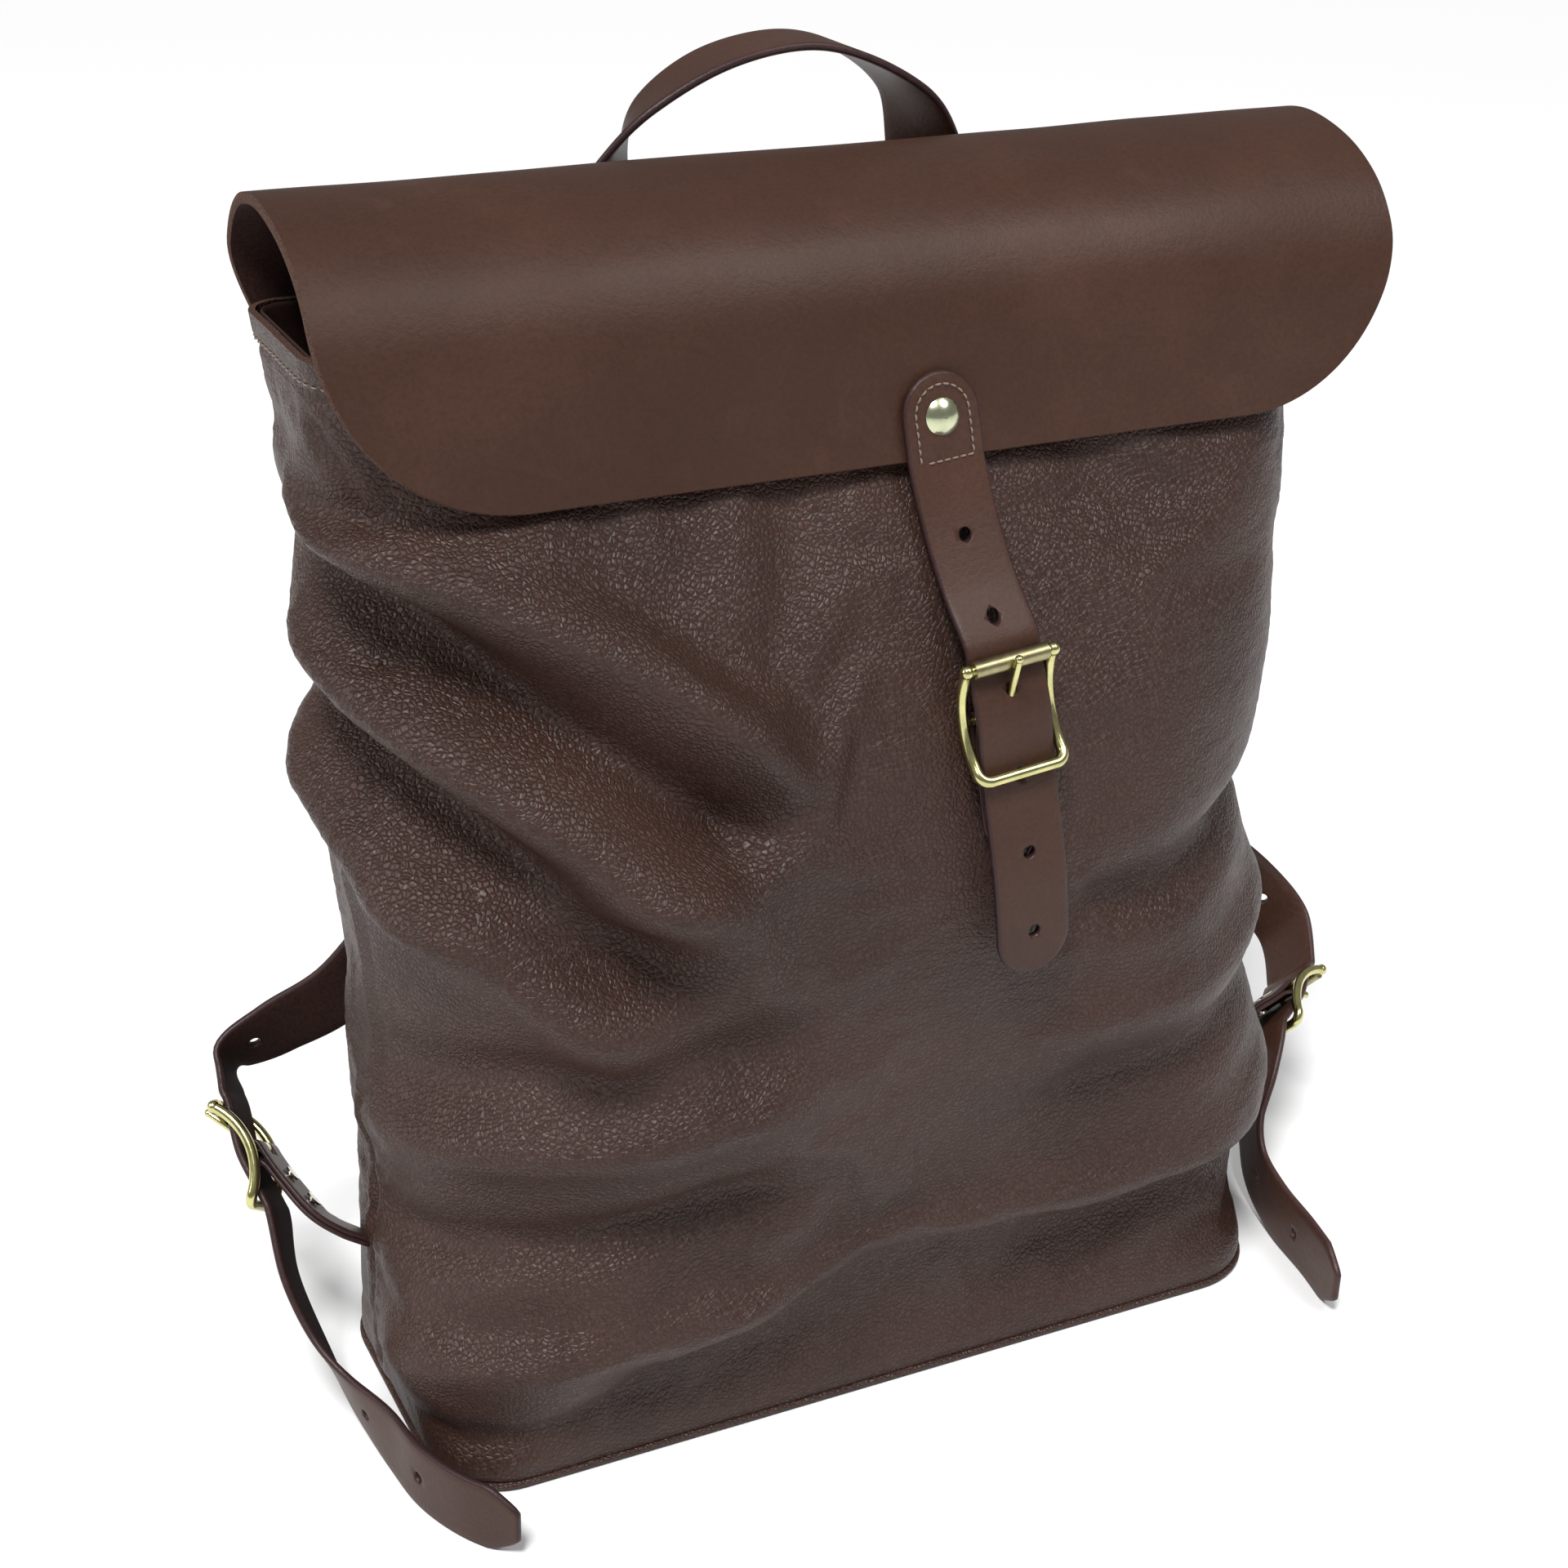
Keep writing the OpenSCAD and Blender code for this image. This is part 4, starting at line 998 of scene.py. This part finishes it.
# A strap's path through its own buckle, in the buckle's frame.
THROUGH_BUCKLE = [(0, 1, 25), (0, 0.9, 18), (0, -1.3, 0), (0, 0.9, -18), (0, 1, -25)]
LEFT_PTS = [(-26, strap_y(356), 356), (-28, strap_y(334), 334), (-47, strap_y(300) + 0.6, 300),
            (-88, 57, 235), (-128, 61.5, 175), (-158, 68, 134), (-184, 75, 117), (-202, 77, 108),
            *left_at(THROUGH_BUCKLE),
            (-199, 21, 47), (-194, 5, 28), (-188, -14, 16.5), (-182, -38, 13.2), (-178.5, -60, 12.8),
            (-170, -80, 12.7), (-157, -97, 12.7)]
LEFT_W = [(-1, 0, 0), (-1, 0, 0.1), (-0.85, 0, 0.52), (-0.82, 0, 0.56), (-0.75, 0, 0.66), (-0.4, -0.05, 0.9),
          (-0.2, -0.2, 0.95), (-0.25, -0.45, 0.8), lw, lw, lw, lw, lw, (-0.35, -0.8, 0.5), (-0.3, -0.75, 0.6),
          (-0.15, -0.5, 0.85), (0, -0.1, 1), (0, 0, 1), (0, 0, 1), (0, 0, 1)]
RIGHT_PTS = [(26, strap_y(356), 356), (28, strap_y(334), 334), (47, strap_y(300) + 0.6, 300),
             (90, 57, 237), (135, 61.5, 182), (172, 66, 147), (206, 68, 120), (233, 62, 97), (247, 51, 78),
             *right_at(THROUGH_BUCKLE), (198, -7, 49), (191, -15, 33), (186, -28, 19), (182, -50, 13.6),
             (179, -75, 12.8), (174, -100, 12.7)]
RIGHT_W = [(1, 0, 0), (1, 0, 0.1), (0.85, 0, 0.52), (0.8, 0, 0.58), (0.7, 0, 0.7), (0.5, -0.1, 0.8),
           (0.4, -0.2, 0.85), (0.4, -0.3, 0.8), (0.4, -0.4, 0.8), rw, rw, rw, rw, rw, (0.05, -0.8, 0.6),
           (-0.2, -0.75, 0.6), (-0.1, -0.45, 0.9), (0, -0.1, 1), (0, 0, 1), (0, 0, 1)]
CAD_STEPS = 5


def tip_shape(q, total):
    """Square top end with softened corners; the tail's corners are clipped to a blunt point."""
    left = total - q
    tail = np.where(left < 11, 0.42 + 0.58 * np.clip(left / 11, 0, 1) ** 0.8, 1)
    return np.where(q < 3, 0.85 + 0.15 * np.sqrt(np.clip(q / 3, 0, 1)), tail)


def shoulder(label, at, pts, wid, stations):
    steps = 10
    c, w = catmull(pts, steps), catmull(wid, steps)
    o, path, d, s, _ = strip(f"shoulder_strap_{label}", c, w, STRAP_W, STRAP_T, [STRAP, EDGE, SUEDE],
                               lanes=9, taper=tip_shape)
    cut = [(path[k * steps // CAD_STEPS], np.cross(d, s)[k * steps // CAD_STEPS], HOLE_R) for k in stations]
    cut.append((at([0, -0.6, 9.0]), in_frame(at, [0, 1, 0.1]), PRONG_HOLE_R))
    punch(o, cut)
    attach(o, f"{label}_strap")
    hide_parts(f"strap_{label}")


shoulder("left", left_at, LEFT_PTS, LEFT_W, (32, 70, 77, 85))
shoulder("right", right_at, RIGHT_PTS, RIGHT_W, (37, 74, 81, 88))

# ---- yoke patch on the back ----
YOKE_W, YOKE_Z, YOKE_CORNER, YOKE_MARGIN = 96.0, (316, 360), 6, 4
g = []
for z in np.linspace(YOKE_Z[0], YOKE_Z[1], 20):
    edge = min(z - YOKE_Z[0], YOKE_Z[1] - z)
    half = YOKE_W / 2 - YOKE_CORNER + math.sqrt(max(0, YOKE_CORNER ** 2 - max(0, YOKE_CORNER - edge) ** 2))
    g.append([(half * u, back_y(z) + 1.1, z) for u in np.linspace(1, -1, 31)])
yoke = slab("yoke_patch", g, 2.0, [STRAP, EDGE, SUEDE])
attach(yoke, "bag")
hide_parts("strap_yoke")
sewn_x, sewn_low, sewn_high = YOKE_W / 2 - YOKE_MARGIN, YOKE_Z[0] + YOKE_MARGIN, YOKE_Z[1] - YOKE_MARGIN
border = [(-sewn_x, sewn_low), (sewn_x, sewn_low), (sewn_x, sewn_high), (-sewn_x, sewn_high),
          (-sewn_x, sewn_low)]
yoke_row = [(x, back_y(z) + 2.15, z) for x, z in subdivided(border, 12)]
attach(stitches("yoke_thread", yoke_row, (0, 1, 0.04), *YOKE_STITCH, TAN), "bag")

# ---- carrying handle: one strap, its feet riveted to the back ----
TAB_T, HANDLE_W = 2.8, 25.0
FOOT_X, HY, HZ, CROWN_X = 57.5, 55.75, 397.4, 6.0
FOOT_Y, FOOT_Z, FOOT_SLOPE = 52.8, 366, 2.8 / 30
foot = [(FOOT_X, FOOT_Y + (z - FOOT_Z) * FOOT_SLOPE, z) for z in (362, 374.5, 388)]
rise = [(FOOT_X, HY, HZ), (FOOT_X, HY + 1.1, 410), (FOOT_X, HY + 2.8, 424)]
rise_w = [(-1, 0, 0), (-1, 0, 0), (-0.72, 0.7, 0)]
crown = [(FOOT_X - 8, HY + 2.8, 442), (FOOT_X - 28, HY + 3, 455.5), (CROWN_X, HY + 3, 461),
         (35 - FOOT_X, HY + 3, 456), (11 - FOOT_X, HY + 2.8, 442)]
crown_w = [(-0.3, 0.95, 0), (-0.05, 1, 0), (0, 1, 0), (0.05, 1, 0), (0.3, 0.95, 0)]


def mirrored(points):
    return [(-x, y, z) for x, y, z in points][::-1]


pts = foot + rise + crown + mirrored(foot + rise)
foot_w = [(-1, 0, 0)] * len(foot)
wid = foot_w + rise_w + crown_w + mirrored(foot_w + rise_w)
c, w = resampled(catmull(pts, 12), catmull(wid, 12), 1.6)
handle, *_ = strip("handle_strap", c, w, HANDLE_W, TAB_T, [STRAP, EDGE, STRAP], lanes=11,
                   taper=rounded_ends(8, 0.55))
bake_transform(handle)
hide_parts("handle_tabs", "handle_loop")

# ---- metal from the CAD ----
for name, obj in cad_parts.items():
    steel = name.startswith("chape_rivets")
    brass = name in ("front_buckle", "front_roller", "front_tongue", "closure_rivet", "front_chape_rivets",
                     "handle_rivets", "yoke_rivets") or name.startswith(("buckle_", "roller_", "tongue_"))
    if steel or brass:
        obj.data.materials.clear()
        roller, dome = "roller" in name, name == "closure_rivet"
        obj.data.materials.append(NICKEL if steel else ROLLER if roller else DOME if dome else BRASS)


# ---- floor, light and camera ----
def area_light(name, place, target, size, power):
    data = bpy.data.lights.new(name, "AREA")
    data.shape, data.size, data.energy = "DISK", size, power
    o = bpy.data.objects.new(name, data)
    o.location = place
    o.rotation_euler = (Vector(target) - Vector(place)).to_track_quat("-Z", "Y").to_euler()
    bpy.context.scene.collection.objects.link(o)


def soft_sun(name, place, strength, spread_deg):
    """An even key light over the whole floor, shining from that direction towards the bag."""
    data = bpy.data.lights.new(name, "SUN")
    data.energy, data.angle = strength, math.radians(spread_deg)
    o = bpy.data.objects.new(name, data)
    o.rotation_euler = (-Vector(place)).to_track_quat("-Z", "Y").to_euler()
    bpy.context.scene.collection.objects.link(o)


floor_m, nt, shader, co = new_material("pale_floor")
shader.inputs["Base Color"].default_value = (0.93, 0.93, 0.93, 1)
shader.inputs["Roughness"].default_value = 0.9
me = bpy.data.meshes.new("floor")
FLOOR_HALF, FLOOR_Z = 6.0, -0.0003
me.from_pydata([(x * FLOOR_HALF, y * FLOOR_HALF, FLOOR_Z) for x, y in ((-1, -1), (1, -1), (1, 1), (-1, 1))],
               [], [(0, 1, 2, 3)])
me.materials.append(floor_m)
floor = bpy.data.objects.new("floor", me)
bpy.context.scene.collection.objects.link(floor)

scene = bpy.context.scene
world = scene.world or bpy.data.worlds.new("studio")
scene.world = world
world.use_nodes = True
bg = world.node_tree.nodes["Background"]
bg.inputs["Color"].default_value = (1, 1, 1, 1)
bg.inputs["Strength"].default_value = 0.24
aim = (0, 0, 0.22)
soft_sun("key", (-0.35, -0.4, 1.0), 2.9, 16)
area_light("softbox", (0.62, -0.75, 1.55), aim, 0.75, 9)
area_light("rim", (-1.4, 0.2, 1.0), aim, 0.8, 8)
scene.view_settings.view_transform = "Standard"

AZ, EL, ROLL = math.radians(-26.2), math.radians(26.1), math.radians(-1.5)
CAMERA_AT = (-0.380, -0.736, 0.620)
FOCAL_MM = 60.0
forward = Vector((-math.sin(AZ) * math.cos(EL), math.cos(AZ) * math.cos(EL), -math.sin(EL)))
right = Vector((math.cos(AZ), math.sin(AZ), 0))
up = right.cross(forward)
cam_x = right * math.cos(ROLL) - up * math.sin(ROLL)
cam_y = right * math.sin(ROLL) + up * math.cos(ROLL)
cam_data = bpy.data.cameras.new("camera")
cam_data.lens, cam_data.sensor_width, cam_data.clip_start = FOCAL_MM, 36.0, 0.05
camera = bpy.data.objects.new("camera", cam_data)
m = Matrix((cam_x, cam_y, -forward)).transposed().to_4x4()
m.translation = CAMERA_AT
camera.matrix_world = m
scene.collection.objects.link(camera)
scene.camera = camera
